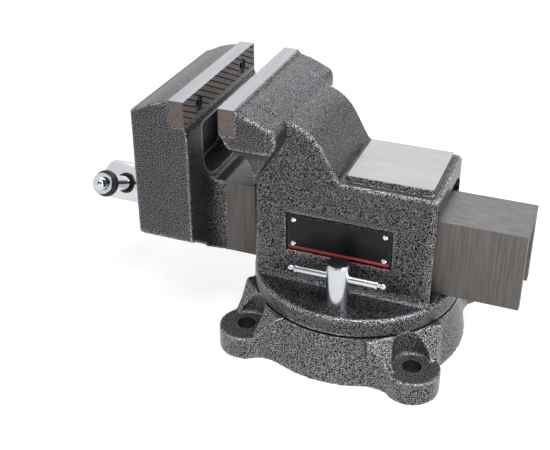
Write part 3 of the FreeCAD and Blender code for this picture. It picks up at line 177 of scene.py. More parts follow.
world = bpy.data.worlds.new("studio_room")
world.use_nodes = True
room = world.node_tree
room.nodes.clear()
sky = node(room, "ShaderNodeBackground", Color=(0.93, 0.96, 1.0, 1), Strength=0.20)
walls = node(room, "ShaderNodeBackground", Strength=1.0)
towards_curtain = node(room, "ShaderNodeVectorMath", operation="DOT_PRODUCT")
towards_curtain.inputs[1].default_value = CURTAIN_SIDE
link(room, node(room, "ShaderNodeTexCoord"), towards_curtain, "Generated", 0)
curtain = ramp(room, towards_curtain, [(0.76, WHITE_WALL), (0.88, DARK_CURTAIN)], "Value")
link(room, curtain, walls, 0, "Color")
link(room, lit_or_seen(room, sky, walls), node(room, "ShaderNodeOutputWorld"), 0, 0)
bpy.context.scene.world = world
bpy.context.scene.view_settings.view_transform = "Standard"
print("room nodes:", len(room.nodes))

# %% [markdown]
# ## The floor
#
# The floor is one large square. It is a plain diffuse surface for the light, so the vise's shadow
# falls on it, with a glow on top that only the camera and shiny metal see.


# %% Floor
def pale_floor():
    """A diffuse floor with a lift that only the camera and shiny metal see."""
    material, tree = new_material("pale_floor")
    ground = node(tree, "ShaderNodeBsdfDiffuse", Color=(0.40, 0.40, 0.40, 1))
    lift = node(tree, "ShaderNodeEmission", Color=(1, 1, 1, 1), Strength=0.80)
    both = node(tree, "ShaderNodeAddShader")
    link(tree, ground, both, 0, 0)
    link(tree, lift, both, 0, 1)
    link(tree, lit_or_seen(tree, ground, both), tree.nodes["Material Output"], 0, 0)
    return material


def from_bmesh(bm, name):
    """Turn a bmesh into an object, and free it."""
    mesh = bpy.data.meshes.new(name)
    bm.to_mesh(mesh)
    bm.free()
    made = bpy.data.objects.new(name, mesh)
    bpy.context.scene.collection.objects.link(made)
    return made


bm = bmesh.new()
bmesh.ops.create_grid(bm, x_segments=1, y_segments=1, size=6)
floor = from_bmesh(bm, "floor")
floor.data.materials.append(pale_floor())
print("floor width:", round(floor.dimensions.x), "m")

# %% [markdown]
# ## Lamps
#
# Five soft square lamps light the vise. The key hangs above and slightly in front, a large one
# stands behind, and both make level faces lighter than upright ones. One at the side and a low
# one pick out the ends of the bar and the plates, and a weak one in front keeps the near side
# readable.

# %% Lamps
VISE_MIDDLE = (0, 0, 0.1)


def softbox(name, place, target, width, power, tint):
    """A square area lamp that looks at a point."""
    data = bpy.data.lights.new(name, "AREA")
    data.shape = "SQUARE"
    data.size = width
    data.energy = power
    data.color = tint
    lamp = bpy.data.objects.new(name, data)
    lamp.location = place
    lamp.rotation_euler = (Vector(target) - Vector(place)).to_track_quat("-Z", "Y").to_euler()
    bpy.context.scene.collection.objects.link(lamp)


softbox("key_softbox", (0.12, -0.36, 1.5), VISE_MIDDLE, 0.6, 13, (0.95, 0.97, 1.0))
softbox("back_softbox", (-0.2, 0.95, 1.0), VISE_MIDDLE, 1.3, 5, (0.92, 0.95, 1.0))
softbox("side_softbox", (0.95, -0.33, 1.05), (0, -0.05, 0.05), 0.35, 6, (0.97, 0.98, 1.0))
softbox("low_softbox", (0.95, -0.75, 0.25), (-0.1, 0, 0.1), 0.4, 2.5, (1.0, 0.99, 0.97))
softbox("front_fill", (0.1, -1.5, 0.45), VISE_MIDDLE, 0.9, 3, (1.0, 0.98, 0.95))

# %% [markdown]
# ## Patterns
#
# A finish is a Principled shader whose colour and roughness follow a pattern. The pattern is
# noise in the object's own coordinates, so it stays on the piece when the piece moves. Its scale
# is in cells per metre, because the vise is modelled in metres.

# %% Pattern helpers
# A Mix node has sockets for every kind of value. These are the ones that blend colours.
MIX_A, MIX_B, MIX_RESULT = 6, 7, 2
ALL_WAYS = (1, 1, 1)


def grey(value):
    return (value, value, value)


def toned(colour, factor):
    """A colour made lighter or darker."""
    return tuple(min(1, c * factor) for c in colour)


def shader(tree, **settings):
    """A Principled shader joined to the output. Underscores in a setting stand for spaces."""
    made = tree.nodes.new("ShaderNodeBsdfPrincipled")
    for key, value in settings.items():
        made.inputs[key.replace("_", " ")].default_value = value
    link(tree, made, tree.nodes["Material Output"], 0, 0)
    return made


def noise(tree, scale, detail=2.0, roughness=0.5, stretch=ALL_WAYS):
    """A noise pattern on Object coordinates, stretched along an axis that has less than 1."""
    mapping = node(tree, "ShaderNodeMapping", Scale=stretch)
    link(tree, node(tree, "ShaderNodeTexCoord"), mapping, "Object", "Vector")
    made = node(tree, "ShaderNodeTexNoise", Scale=scale, Detail=detail, Roughness=roughness)
    link(tree, mapping, made, 0, "Vector")
    return made


def blended(tree, first, second, factor):
    """Blend two colour ramps by a node's value."""
    made = node(tree, "ShaderNodeMix", data_type="RGBA")
    link(tree, factor, made, 0, "Factor")
    link(tree, first, made, 0, MIX_A)
    link(tree, second, made, 0, MIX_B)
    return made


def multiplied(tree, first, second, output=0):
    """Multiply a colour by a colour ramp."""
    made = node(tree, "ShaderNodeMix", data_type="RGBA", blend_type="MULTIPLY", Factor=1.0)
    link(tree, first, made, output, MIX_A)
    link(tree, second, made, 0, MIX_B)
    return made


def bump(tree, height, into, strength, distance):
    """Let a pattern roughen a shader's surface; distance is the depth in metres."""
    made = node(tree, "ShaderNodeBump", Strength=strength, Distance=distance)
    link(tree, height, made, 0, "Height")
    link(tree, made, into, 0, "Normal")


# %% [markdown]
# ## Hammered paint
#
# Hammered enamel is a dark grey paint with aluminium flakes that crawl together into small bright
# cells between dark veins. A noise pattern finer than a millimetre gives them, with a second,
# larger one so that no two areas look alike. The same pattern, as a bump, gives the orange-peel
# gloss. Raised edges are painted brighter, a painted highlight, and creases darker, a painted
# shade. Pointiness, which tells how sharply a surface turns, gives both.

# %% Hammered paint
CELLS_PER_METRE = 1320
PATCHES_PER_METRE = 40
CREASE_SHADE = 0.2


def hammered_paint(name, tone, rim):
    """Hammered enamel; tone lightens or darkens its cells, and rim sets the painted highlight on
    its edges.
    """
    material, tree = new_material(name)
    paint = shader(tree, Metallic=0.85, Specular_IOR_Level=0.3, Coat_Weight=0.12,
                   Coat_Roughness=0.15)
    cells = noise(tree, CELLS_PER_METRE, detail=0.0)
    colour = ramp(tree, cells, [
        (0.42, toned((0.003, 0.003, 0.004), tone)),
        (0.48, toned((0.030, 0.029, 0.031), tone)),
        (0.53, toned((0.120, 0.118, 0.123), tone)),
        (0.60, toned((0.46, 0.46, 0.47), tone)),
    ])
    patches = ramp(tree, noise(tree, PATCHES_PER_METRE, detail=1.0),
                   [(0.35, (0.94, 0.91, 0.89)), (0.65, (1.04, 1.04, 1.07))])
    # Painted highlight on raised edges and painted shade in creases, both read from pointiness.
    edge_light_and_crease_shade = ramp(tree, node(tree, "ShaderNodeNewGeometry"), [
        (0.42, grey(CREASE_SHADE)), (0.465, grey(1)), (0.505, grey(1)), (0.54, grey(rim))
    ], "Pointiness")
    shaded = multiplied(tree, colour, patches)
    edged = multiplied(tree, shaded, edge_light_and_crease_shade, MIX_RESULT)
    link(tree, edged, paint, MIX_RESULT, "Base Color")
    gloss = ramp(tree, cells, [(0.38, grey(0.30)), (0.62, grey(0.46))])
    link(tree, gloss, paint, 0, "Roughness")
    bump(tree, cells, paint, 0.35, 0.0004)
    return material


HAMMERED = hammered_paint("hammered_paint", 0.48, 2.8)
# The base's paint is the body's paint made lighter, painted light for the bright floor it
# reflects.
HAMMERED_BASE_PAINTED_LIGHTER = hammered_paint("hammered_paint_base_painted_lighter", 0.76, 1.7)
print("paints made:", HAMMERED.name, HAMMERED_BASE_PAINTED_LIGHTER.name)

# %% [markdown]
# ## Machined steel
#
# The metal parts differ mostly in how they were worked. Ground faces are light and nearly even,
# the sawn ends of the jaw plates are brownish, and the slide bar carries the upright marks of its
# cutter. Each finish is a metal shader whose colour and roughness follow a stretched noise,
# because a machining mark is a noise that is long in one direction. Faces that look up get one
# tone and the others another, because they were worked on different machines. On the slide bar
# the top's tone is also turned down as a painted shade.


# %% Machined steel
def lines(tree, scale, stretch, low, high):
    """Fine parallel marks as a colour ramp from one tone to another."""
    marks = noise(tree, scale, detail=3.0, roughness=0.65, stretch=stretch)
    return ramp(tree, marks, [(0.3, low), (0.7, high)])


def upward(tree):
    """1 on faces that look up and 0 on the others."""
    split = node(tree, "ShaderNodeSeparateXYZ")
    link(tree, node(tree, "ShaderNodeNewGeometry"), split, "True Normal", 0)
    steps = node(tree, "ShaderNodeMapRange", **{"From Min": 0.6, "From Max": 0.9})
    link(tree, split, steps, "Z", "Value")
    return steps


def ground_steel(name, top, side, marks):
    """Steel ground bright on top and darker on its sawn sides."""
    material, tree = new_material(name)
    steel = shader(tree, Metallic=0.85)
    bright = lines(tree, 260, marks, toned(top, 0.97), toned(top, 1.02))
    dark = lines(tree, 420, ALL_WAYS, toned(side, 0.8), toned(side, 1.2))
    link(tree, blended(tree, dark, bright, upward(tree)), steel, MIX_RESULT, "Base Color")
    rough = lines(tree, 300, marks, grey(0.36), grey(0.52))
    link(tree, rough, steel, 0, "Roughness")
    bump(tree, rough, steel, 0.15, 0.0001)
    return material


def milled_iron():
    """The slide bar: bare iron, brownish, with upright marks on its sides."""
    material, tree = new_material("milled_iron")
    iron = shader(tree, Metallic=0.7)
    sides = lines(tree, 700, (1, 1, 0.03), (0.095, 0.085, 0.078), (0.175, 0.16, 0.15))
    # The top's grey is turned down partly as painted shade, for the shade under the body's rear
    # arch.
    top = lines(tree, 300, (0.2, 1, 1), (0.14, 0.135, 0.132), (0.21, 0.203, 0.2))
    link(tree, blended(tree, sides, top, upward(tree)), iron, MIX_RESULT, "Base Color")
    rough = lines(tree, 500, (1, 1, 0.05), grey(0.42), grey(0.6))
    link(tree, rough, iron, 0, "Roughness")
    bump(tree, sides, iron, 0.2, 0.0001)
    return material


PLATE_STEEL = ground_steel("plate_steel", (0.335, 0.335, 0.348), (0.14, 0.12, 0.108), (1, 0.04, 1))
ANVIL_STEEL = ground_steel("anvil_steel", (0.385, 0.372, 0.366), (0.3, 0.3, 0.3), (0.06, 1, 1))
BAR_IRON = milled_iron()
print("machined finishes:", PLATE_STEEL.name, ANVIL_STEEL.name, BAR_IRON.name)

# %% [markdown]
# ## Plain metals and rubber
#
# The fittings have one finish all over, with a fine grain in its tone and roughness. Chrome and
# plating get a coarse, faint grain, which bends their reflections a little as real plating does.

# %% Plain metals
POLISHED = dict(spread=0.03, scale=60, depth=0.00001)


def plain_metal(name, colour, roughness, metallic=1.0, spread=0.12, scale=900, depth=0.00003):
    """A metal with an even grain; spread is how far its tone strays, and depth is in metres."""
    material, tree = new_material(name)
    metal = shader(tree, Metallic=metallic)
    grain = noise(tree, scale)
    tone = ramp(tree, grain, [(0.3, toned(colour, 1 - spread)), (0.7, toned(colour, 1 + spread))])
    link(tree, tone, metal, 0, "Base Color")
    rough = ramp(tree, grain, [(0.3, grey(roughness * 0.85)), (0.7, grey(roughness * 1.15))])
    link(tree, rough, metal, 0, "Roughness")
    bump(tree, grain, metal, 0.2, depth)
    return material


CHROME = plain_metal("chrome", (0.60, 0.615, 0.64), 0.12, **POLISHED)
ZINC = plain_metal("zinc_steel", (0.60, 0.60, 0.60), 0.32)
PLATED = plain_metal("bright_plating", (0.58, 0.60, 0.63), 0.2, **POLISHED)
BLACK_STEEL = plain_metal("black_steel", (0.03, 0.03, 0.032), 0.45, metallic=0.6)
ALUMINIUM = plain_metal("aluminium", (0.72, 0.72, 0.72), 0.28)
BARE_IRON = plain_metal("bare_iron", (0.2, 0.19, 0.18), 0.55)
# Near black, a painted shade for the jaw plates' grooves and counterbores.
GROOVE_SHADE = plain_metal("painted_groove_shade", (0.018, 0.017, 0.016), 0.7, metallic=0.3)
# Near black: bare iron darkened to a painted shade, for the bench holes and the base's groove.
BORE_SHADE = plain_metal("painted_bore_shade", (0.03, 0.029, 0.028), 0.5, metallic=0.5)
RUBBER = plain_metal("black_rubber", (0.012, 0.012, 0.013), 0.55, metallic=0.0, scale=1500)
print("finishes:", len(bpy.data.materials))

# %% [markdown]
# ## From solid to casting
#
# A sand casting has no sharp edges: outside edges are rounded and inside corners carry a fillet.
# Then a few faces are machined, and those have crisp edges again. The pieces are made in the same
# order. A copy of the solid is remeshed into small even squares and smoothed, which rounds every
# edge, and then blocks and cylinders are cut away from it where the cutter went.

# %% Casting helpers
MERGE_WITHIN = 0.005 * MM
EDGE_ROUNDS = 2
SHARP_FROM = 35


def block(bm, low, high):
    """Add a block between two corners, in millimetres."""
    low, high = Vector(low) * MM, Vector(high) * MM
    corners = bmesh.ops.create_cube(bm, size=1)["verts"]
    bmesh.ops.scale(bm, vec=high - low, verts=corners)
    bmesh.ops.translate(bm, vec=(low + high) / 2, verts=corners)


def rod(bm, radius, start, end):
    """Add a cylinder between two points, in millimetres."""
    start, end = Vector(start) * MM, Vector(end) * MM
    turn = (end - start).to_track_quat("Z", "Y").to_matrix().to_4x4()
    bmesh.ops.create_cone(bm, cap_ends=True, segments=64, radius1=radius * MM,
                          radius2=radius * MM, depth=(end - start).length,
                          matrix=Matrix.Translation((start + end) / 2) @ turn)


def adds(shape, **measures):
    """A filler or cutter: a function that adds a shape with these measures to a bmesh."""
    return lambda bm: shape(bm, **measures)


def merged_copy(node_name):
    """A copy of a solid's mesh whose loose triangles are joined at their corners."""
    bm = bmesh.new()
    bm.from_mesh(frame["nodes"][node_name].data)
    bmesh.ops.remove_doubles(bm, verts=bm.verts, dist=MERGE_WITHIN)
    return bm


def bake(made):
    """Fix the result of an object's modifiers into its mesh."""
    bpy.context.view_layer.update()
    graph = bpy.context.evaluated_depsgraph_get()
    mesh = bpy.data.meshes.new_from_object(made.evaluated_get(graph))
    made.modifiers.clear()
    made.data = mesh
    mesh.name = made.name


def as_cast(node_name, name, voxel, fillers):
    """A rounded copy of a solid. Each filler is a function that adds metal to it first."""
    bm = merged_copy(node_name)
    for add in fillers:
        add(bm)
    casting = from_bmesh(bm, name)
    remesh = casting.modifiers.new("even_skin", "REMESH")
    remesh.mode = "VOXEL"
    remesh.voxel_size = voxel * MM
    smooth = casting.modifiers.new("cast_edges", "SMOOTH")
    smooth.factor = 0.5
    smooth.iterations = EDGE_ROUNDS
    bake(casting)
    print(name, "cast with", len(casting.data.polygons) * 2, "triangles")
    return casting


def machine(casting, cutters, slot=0):
    """Cut shapes out of a casting in one go. Each cutter is a function that adds its shape."""
    bm = bmesh.new()
    for add in cutters:
        add(bm)
    bmesh.ops.recalc_face_normals(bm, faces=bm.faces)
    for face in bm.faces:
        face.material_index = slot
    tool = from_bmesh(bm, "cutter")
    for _ in range(2):
        tool.data.materials.append(None)
    cut = casting.modifiers.new("machined", "BOOLEAN")
    cut.operation = "DIFFERENCE"
    cut.solver = "EXACT"
    cut.object = tool
    bake(casting)
    bpy.data.objects.remove(tool)


def shade(made, angle=SHARP_FROM):
    """Smooth shading that stays crisp where two faces meet at more than an angle."""
    made.data.shade_smooth()
    made.data.set_sharp_from_angle(angle=math.radians(angle))


def paint_with(made, *materials):
    """Give a piece these materials, in this order, in place of any it has."""
    made.data.materials.clear()
    for material in materials:
        made.data.materials.append(material)


def finish_piece(made, body, slot, *replaced):
    """Let a piece ride on its body, and hide the nodes it stands for; its slot is not used."""
    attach(made, body)
    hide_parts(*replaced)


print("sharp from", SHARP_FROM, "degrees")

# %% [markdown]
# ## The swivel base
#
# The base is a drum with four lugs. Its paint is the body's paint made lighter, a painted
# highlight for the bright floor that its sides reflect. Everything on it that the eye meets is as
# cast, down to the seats round the bench holes, so the holes are filled before casting and
# drilled after.

# %% Base as cast
LUG_CIRCLE = 109
LUG_TURN = 43
FILLED_RADIUS, DRILLED_RADIUS = 10.5, 8.5
holes = []
for quarter in range(4):
    turn = math.radians(LUG_TURN + 90 * quarter)
    holes.append((LUG_CIRCLE * math.cos(turn), LUG_CIRCLE * math.sin(turn)))
swivel_base = as_cast("base_casting", "swivel_base", 1.25, [
    adds(rod, radius=FILLED_RADIUS, start=(x, y, 0.5), end=(x, y, 22)) for x, y in holes
])

# %% [markdown]
# Where the drum's wall runs into the lugs, a pattern maker leaves a wide fillet. There the wall
# is smoothed over and over, which lets it sag into one curve. The lugs' tops and the rim stay as
# they are. Angles are counted from the middle of the nearest lug.

# %% Blended wall
WALL_ROUNDS = 40
WALL_FOOT = 1.2
LUG_EDGE, LUG_CLEAR, BETWEEN_LUGS = 17, 25, 45
TOP_AT_LUG, TOP_CLEAR = 31, 44
DRUM_INSIDE = 80


def blend_wall(casting):
    """Smooth the drum's wall where it runs into the lugs."""
    bm = bmesh.new()
    bm.from_mesh(casting.data)
    wall = []
    for vert in bm.verts:
        x, y, z = vert.co / MM
        off = abs((math.degrees(math.atan2(y, x)) - LUG_TURN + 45) % 90 - 45)
        top = TOP_CLEAR if off > LUG_CLEAR else TOP_AT_LUG
        level = WALL_FOOT < z < top
        if level and LUG_EDGE < off < BETWEEN_LUGS and math.hypot(x, y) > DRUM_INSIDE:
            wall.append(vert)
    for _ in range(WALL_ROUNDS):
        bmesh.ops.smooth_vert(bm, verts=wall, factor=0.5, use_axis_x=True, use_axis_y=True,
                              use_axis_z=True)
    bm.to_mesh(casting.data)
    bm.free()
    print("wall vertices blended:", len(wall))


blend_wall(swivel_base)

# %% [markdown]
# The bench holes are drilled, and a narrow groove is turned into the top of the drum. The cut
# faces of both are near black, a painted shade that darkens the inside of the holes beyond their
# bare iron and keeps the joint with the turntable dark. The groove's cutter is a small section
# spun round the axis.

# %% Base machined
GROOVE_INSIDE, GROOVE_OUTSIDE = 91.5, 94.8
GROOVE_BOTTOM, ABOVE_DRUM = 45.1, 47


def turned_groove(bm):
    """A ring with the section of the groove."""
    corners = [bm.verts.new((radius * MM, 0, z * MM)) for radius, z in (
        (GROOVE_INSIDE, GROOVE_BOTTOM), (GROOVE_OUTSIDE, GROOVE_BOTTOM),
        (GROOVE_OUTSIDE, ABOVE_DRUM), (GROOVE_INSIDE, ABOVE_DRUM))]
    sides = [bm.edges.new((corners[side - 1], corners[side])) for side in range(4)]
    bmesh.ops.spin(bm, geom=corners + sides, cent=(0, 0, 0), axis=(0, 0, 1),
                   angle=math.radians(360), steps=128, use_merge=True)


paint_with(swivel_base, HAMMERED_BASE_PAINTED_LIGHTER, BORE_SHADE)
# Slot 1, the cut faces, gets the near-black painted shade.
machine(swivel_base, [
    adds(rod, radius=DRILLED_RADIUS, start=(x, y, -5), end=(x, y, 60)) for x, y in holes
], slot=1)
machine(swivel_base, [turned_groove], slot=1)
shade(swivel_base)
finish_piece(swivel_base, "base", "hammertone_casting", "base_casting")
print("bench holes:", [(round(x), round(y)) for x, y in holes])

# %% [markdown]
# ## The body
#
# The turntable, the box round the slide bar, the jaw head, the hood and the anvil are one
# casting. A long bar with its corner in the joint, added before casting, leaves a fillet between
# the box and the turntable. The box draws in a little towards its top, because a pattern has to
# leave the sand.

# %% Body as cast
plate_low, plate_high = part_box("fixed_jaw_plate")
PLATE_BOTTOM = plate_low.z / MM
PLATE_TOP, PLATE_HALF = 229.5, 75
FIXED_FACE = -101.1
FIXED_BACK = plate_high.x / MM
ANVIL_TOP = 169.1
TO_GRIND_OFF = 2.5
TABLE_TOP = 63.2
FILLET = 4.5
LEAN = 2.0


def ramped(value, start, run):
    """0 up to a start, then a straight rise to 1 over a run."""
    return min(1, max(0, (value - start) / run))


def fillet(bm, start, end):
    """Fill a joint with a four-sided bar whose corners point along the axes."""
    start, end = Vector(start) * MM, Vector(end) * MM
    along = (end - start).normalized()
    out = Vector((1, 0, 0)) if abs(along.x) < 0.5 else Vector((0, 1, 0))
    basis = Matrix((out, along.cross(out), along)).transposed().to_4x4()
    size = Matrix.Diagonal((FILLET * MM, FILLET * MM, (end - start).length, 1))
    bmesh.ops.create_cone(bm, cap_ends=True, segments=4, radius1=1, radius2=1, depth=1,
                          matrix=Matrix.Translation((start + end) / 2) @ basis @ size)


def lean_in(casting):
    """Draw the sides of the box in towards their top."""
    for vert in casting.data.vertices:
        x, y, z = vert.co / MM
        rise = ramped(z, 128, 34)
        behind_head = ramped(x, -62, 16)
        outer = ramped(abs(y), 38, 8)
        vert.co.y -= math.copysign(LEAN * MM * rise * behind_head * outer, y)


vise_casting = as_cast("vise_body", "vise_casting", 1.52, [
    adds(block, low=(FIXED_FACE, -PLATE_HALF, PLATE_BOTTOM - 1),
         high=(FIXED_BACK + 1, PLATE_HALF, PLATE_TOP)),
    adds(block, low=(-1.8, -37, 160), high=(71.9, 37, ANVIL_TOP + TO_GRIND_OFF)),
    adds(fillet, start=(-77, -48, TABLE_TOP), end=(73, -48, TABLE_TOP)),
    adds(fillet, start=(-77, 48, TABLE_TOP), end=(73, 48, TABLE_TOP)),
    adds(fillet, start=(-83, -26, TABLE_TOP), end=(-83, 26, TABLE_TOP)),
    adds(fillet, start=(79, -42, TABLE_TOP), end=(79, 42, TABLE_TOP)),
])
lean_in(vise_casting)

# %% [markdown]
# The seat of the jaw plate, the way for the slide bar, the arch behind it, the recess of the
# nameplate and the anvil's face are cut after casting. The anvil is cast a little too high and
# then ground flat, which leaves a bright face with a sharp edge against the paint.

# %% Body machined
CHANNEL_FLOOR = 64.3
ARCH_START, ARCH_END = 67, 95
ARCH_HALF = [(45.4, CHANNEL_FLOOR), (45.4, 122), (43.5, 132), (41, 139), (37, 145), (29, 149.3),
             (12, 150.5)]
SEAT_FIT = 0.05
BEYOND_SIDE, BEYOND_TOP = 85, 240


def rear_arch(bm):
    """The relief at the rear end of the channel, extruded along X from its outline."""
    outline = ARCH_HALF + [(-y, z) for y, z in ARCH_HALF[::-1]]
    face = bm.faces.new([bm.verts.new((ARCH_START * MM, y * MM, z * MM)) for y, z in outline])
    made = bmesh.ops.extrude_face_region(bm, geom=[face], use_keep_orig=True)["geom"]
    far_end = [part for part in made if isinstance(part, bmesh.types.BMVert)]
    bmesh.ops.translate(bm, verts=far_end, vec=((ARCH_END - ARCH_START) * MM, 0, 0))


BODY_CUTS = {
    "plate seat": adds(block, low=(-110, -BEYOND_SIDE, PLATE_BOTTOM - SEAT_FIT),
                       high=(FIXED_BACK + SEAT_FIT, BEYOND_SIDE, BEYOND_TOP)),
    "anvil face": adds(block, low=(-4, -50, ANVIL_TOP), high=(85, 50, 190)),
    "bar way": adds(block, low=(-100, -29, CHANNEL_FLOOR), high=(90, 29, 137)),
    "nameplate recess": adds(block, low=(-52.4, -60, 91.4), high=(43.6, -46.6, 129.0)),
}
machine(vise_casting, [rear_arch])
machine(vise_casting, BODY_CUTS.values())
shade(vise_casting)
paint_with(vise_casting, HAMMERED, ANVIL_STEEL)
finish_piece(vise_casting, "body", "hammertone_casting", "vise_body")
ground = [face for face in vise_casting.data.polygons
          if face.normal.z > 0.99 and abs(face.center.z - ANVIL_TOP * MM) < 0.05 * MM]
for face in ground:
    face.material_index = 1
print("cut into the body: rear arch,", ", ".join(BODY_CUTS))

# %% [markdown]
# ## The moving jaw and its slide bar
#
# These are one casting too, but the bar is milled bare behind a short painted neck. They are two
# pieces here, because the paint ends on a clean line round the bar and the bar's edges are crisp.

# %% Moving jaw
PAINT_END = -117.1
moving_low, moving_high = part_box("moving_jaw_plate")
MOVING_BACK = moving_low.x / MM
jaw_casting = as_cast("moving_jaw", "jaw_casting", 1.5, [
    adds(block, low=(MOVING_BACK - 1, -PLATE_HALF, PLATE_BOTTOM - 1),
         high=(moving_high.x / MM, PLATE_HALF, PLATE_TOP)),
])
machine(jaw_casting, [
    adds(block, low=(MOVING_BACK - SEAT_FIT, -BEYOND_SIDE, PLATE_BOTTOM - SEAT_FIT),
         high=(-115, BEYOND_SIDE, BEYOND_TOP)),
    adds(block, low=(PAINT_END, -60, 40), high=(200, 60, 180)),
])
shade(jaw_casting)
paint_with(jaw_casting, HAMMERED)
finish_piece(jaw_casting, "jaw", "hammertone_casting", "moving_jaw")

# %% [markdown]
# The bar is the rest of the solid. It is cut off two millimetres inside the paint, so that no gap
# can open between the two pieces, and its long edges are broken with a small bevel.

# %% Slide bar
INSIDE_PAINT = 2.0


def whole(bm):
    """Everything in a bmesh, for an operator that takes it all."""
    return bm.verts[:] + bm.edges[:] + bm.faces[:]


def bevel(bm, edges, width, segments=2):
    """Round edges off by a width in millimetres."""
    bmesh.ops.bevel(bm, geom=edges, affect="EDGES", offset=width * MM, segments=segments,
                    profile=0.5, material=-1)


def folds(bm, degrees):
    """The edges at which two faces turn by more than an angle."""
    return [edge for edge in bm.edges
            if len(edge.link_faces) == 2 and edge.calc_face_angle() > math.radians(degrees)]


bm = merged_copy("moving_jaw")
cut = bmesh.ops.bisect_plane(bm, geom=whole(bm), dist=1e-7, plane_no=(-1, 0, 0), clear_outer=True,
                             plane_co=((PAINT_END - INSIDE_PAINT) * MM, 0, 0))
rim = [part for part in cut["geom_cut"] if isinstance(part, bmesh.types.BMEdge)]
bmesh.ops.holes_fill(bm, edges=rim)
bmesh.ops.dissolve_limit(bm, angle_limit=math.radians(1), verts=bm.verts, edges=bm.edges)
bevel(bm, folds(bm, 30), 0.5)
slide_bar = from_bmesh(bm, "slide_bar")
shade(slide_bar)
paint_with(slide_bar, BAR_IRON)
finish_piece(slide_bar, "jaw", "bare_iron", "moving_jaw")
print("slide bar faces:", len(slide_bar.data.polygons))

# %% [markdown]
# ## Jaw plates
#
# The plates are hardened steel blocks whose gripping faces are cut with grooves, so that the
# points between them bite. Coarse and fine grooves take turns one way, and fine ones cross them.
# They are real here: the two edges and the bottom of each groove are cut into the face as lines,
# and then every point is pushed in as deep as the groove is there.


# %% Grooves
class Grooves:
    """One set of parallel V grooves across a gripping face, with all lengths in millimetres."""

    def __init__(self, angle, pitch, first, width, depth):
        self.across = Vector((0, -math.sin(angle), math.cos(angle)))
        self.pitch, self.first, self.width, self.depth = pitch, first, width, depth

    def score(self, bm, gripping, middle):
        """Cut the two edges and the bottom of every groove into the face as lines."""
        steps = int(90 / self.pitch)
        for step in range(-steps, steps + 1):
            for side in (-0.5, 0, 0.5):
                at = middle + self.across * (step * self.pitch + self.first + side * self.width)
                faces = gripping()
                geom = set(faces)
                for face in faces:
                    geom.update(face.edges)
                    geom.update(face.verts)
                bmesh.ops.bisect_plane(bm, geom=list(geom), dist=1e-7, plane_no=self.across,
                                       plane_co=at * MM)

    def depth_at(self, point, middle):
        """How deep the groove is at a point of the face."""
        steps = ((point - middle).dot(self.across) - self.first) / self.pitch
        off = abs(steps - round(steps)) * self.pitch / (self.width / 2)
        return self.depth * max(0, 1 - off)


GROOVE_ANGLE = math.radians(-27)
COARSE = Grooves(GROOVE_ANGLE, pitch=5, first=0, width=1.3, depth=0.9)
FINE = Grooves(GROOVE_ANGLE, pitch=5, first=2.5, width=0.7, depth=0.4)
CROSSING = Grooves(GROOVE_ANGLE + math.radians(90), pitch=2.5, first=0, width=0.7, depth=0.4)
ALL_GROOVES = (COARSE, FINE, CROSSING)
print("groove sets:", len(ALL_GROOVES))

# %% Jaw plates
PLAIN_BAND = 3.0
SCREW_HEAD = 6.5
COUNTERBORE = SCREW_HEAD + 0.4
SCREW_DEPTH = 9.2
GROOVE_SHADE_DEPTH = 0.05


def jaw_plate(solid, screws, name, facing, body):
    """A jaw plate whose gripping face looks along X; facing is +1 or -1."""
    low, high = (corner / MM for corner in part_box(solid))
    face_x = high.x if facing > 0 else low.x
    middle = Vector((face_x, 0, (low.z + high.z) / 2))
    band = (low.z + PLAIN_BAND) * MM
    bm = bmesh.new()
    block(bm, low, high)
    bevel(bm, [edge for edge in bm.edges
               if any(abs(vert.co.x - face_x * MM) > 1e-6 for vert in edge.verts)], 0.4)
    bmesh.ops.recalc_face_normals(bm, faces=bm.faces)
    bmesh.ops.bisect_plane(bm, geom=whole(bm), dist=1e-7, plane_co=(0, 0, band),
                           plane_no=(0, 0, 1))

    def gripping():
        return [face for face in bm.faces
                if face.normal.x * facing > 0.999 and face.calc_center_median().z > band]

    for grooves in ALL_GROOVES:
        grooves.score(bm, gripping, middle)
    # Faces in the coarse grooves are painted near black, a painted shade in the grooves.
    for face in gripping():
        if COARSE.depth_at(face.calc_center_median() / MM, middle) > GROOVE_SHADE_DEPTH:
            face.material_index = 1
    for vert in {vert for face in gripping() for vert in face.verts if vert.co.z > band + 1e-6}:
        depth = max(grooves.depth_at(vert.co / MM, middle) for grooves in ALL_GROOVES)
        vert.co.x -= facing * depth * MM
    bmesh.ops.triangulate(bm, faces=bm.faces)
    plate = from_bmesh(bm, name)
    plate.data.materials.append(PLATE_STEEL)
    plate.data.materials.append(GROOVE_SHADE)

    screws_low, screws_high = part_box(screws)
    level = (screws_low.z + screws_high.z) / 2 / MM
    side = screws_high.y / MM - SCREW_HEAD
    seat = face_x - facing * SCREW_DEPTH
    front = face_x + facing * 3
    # The counterbores' walls get the same near-black painted shade.
    machine(plate, [
        adds(rod, radius=COUNTERBORE, start=(seat, y, level), end=(front, y, level))
        for y in (-side, side)
    ], slot=1)
    shade(plate, 20)
    finish_piece(plate, body, "ground_steel", solid)
    print(name, "faces:", len(plate.data.polygons))


jaw_plate("moving_jaw_plate", "moving_jaw_screws", "moving_plate", 1, "jaw")
jaw_plate("fixed_jaw_plate", "fixed_jaw_screws", "fixed_plate", -1, "body")

# %% [markdown]
# ## Nameplate and rivets
#
# The plate is a thin black sheet with rounded corners and a red line along its lower edge. It
# stays bare of words. Its cut edge shows the bare aluminium. Four drive rivets with low domed
# heads hold it.

# %% Nameplate
RED_LINE = 2.6
name_low, name_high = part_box("nameplate")


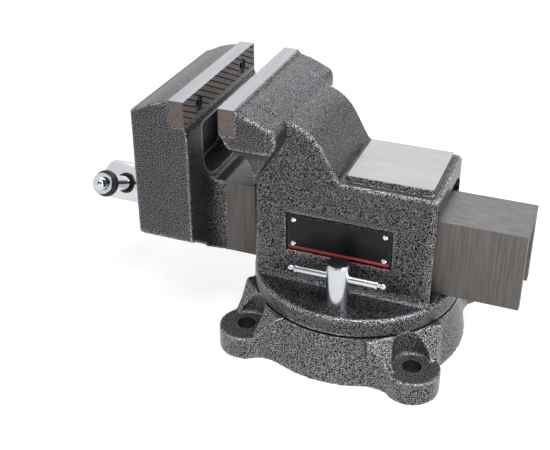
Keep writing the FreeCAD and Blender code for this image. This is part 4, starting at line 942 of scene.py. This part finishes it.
def nameplate_finish():
    """Black enamel with a red line, by height."""
    material, tree = new_material("black_enamel")
    enamel = shader(tree, Metallic=0.0, Specular_IOR_Level=0.2)
    grain = noise(tree, 700)
    black = ramp(tree, grain, [(0.3, (0.006, 0.006, 0.007)), (0.7, (0.012, 0.012, 0.013))])
    red = ramp(tree, grain, [(0.3, (0.60, 0.06, 0.06)), (0.7, (0.70, 0.085, 0.085))])
    split = node(tree, "ShaderNodeSeparateXYZ")
    link(tree, node(tree, "ShaderNodeTexCoord"), split, "Object", 0)
    below = node(tree, "ShaderNodeMath", operation="LESS_THAN")
    below.inputs[1].default_value = name_low.z + RED_LINE * MM
    link(tree, split, below, "Z", 0)
    link(tree, blended(tree, black, red, below), enamel, MIX_RESULT, "Base Color")
    rough = ramp(tree, grain, [(0.3, grey(0.30)), (0.7, grey(0.38))])
    link(tree, rough, enamel, 0, "Roughness")
    bump(tree, grain, enamel, 0.1, 0.00002)
    return material


bm = bmesh.new()
block(bm, name_low / MM, name_high / MM)
uprights = [e for e in bm.edges if abs((e.verts[0].co - e.verts[1].co).y) > 0.5 * MM]
bevel(bm, uprights, 2.0, segments=5)
bevel(bm, folds(bm, 60), 0.2)
bmesh.ops.recalc_face_normals(bm, faces=bm.faces)
name_plate = from_bmesh(bm, "name_plate")
shade(name_plate)
paint_with(name_plate, nameplate_finish(), ALUMINIUM)
finish_piece(name_plate, "body", "black_plate", "nameplate")
for face in name_plate.data.polygons:
    face.material_index = 0 if face.normal.y < -0.9 else 1
print("nameplate faces:", len(name_plate.data.polygons))

# %% [markdown]
# ## Small fittings
#
# The spindle, the handle, the swivel locks and the fasteners are turned parts whose solids
# already have the right shape, so they keep it and get a finish.

# %% Fittings
FITTINGS = [
    (ALUMINIUM, ["nameplate_rivets"]),
    (BLACK_STEEL, ["fixed_jaw_screws", "moving_jaw_screws"]),
    (BARE_IRON, ["spindle_nut", "lock_nut_near", "lock_nut_far"]),
    (ZINC, ["nut_bolt_washer", "spindle_nut_bolt", "thrust_washer", "retaining_collar",
            "collar_pin", "backlash_spring"]),
    (CHROME, ["spindle", "handle_bar", "handle_knob_upper", "handle_knob_lower"]),
    (RUBBER, ["handle_hole_rings", "handle_buffer_upper", "handle_buffer_lower"]),
    (PLATED, ["lock_screw_near", "lock_screw_far", "lock_bar_near", "lock_bar_far"]),
]
for material, solids in FITTINGS:
    for name in solids:
        paint_with(frame["nodes"][name], material)
    print(material.name, "on", len(solids), "fittings")
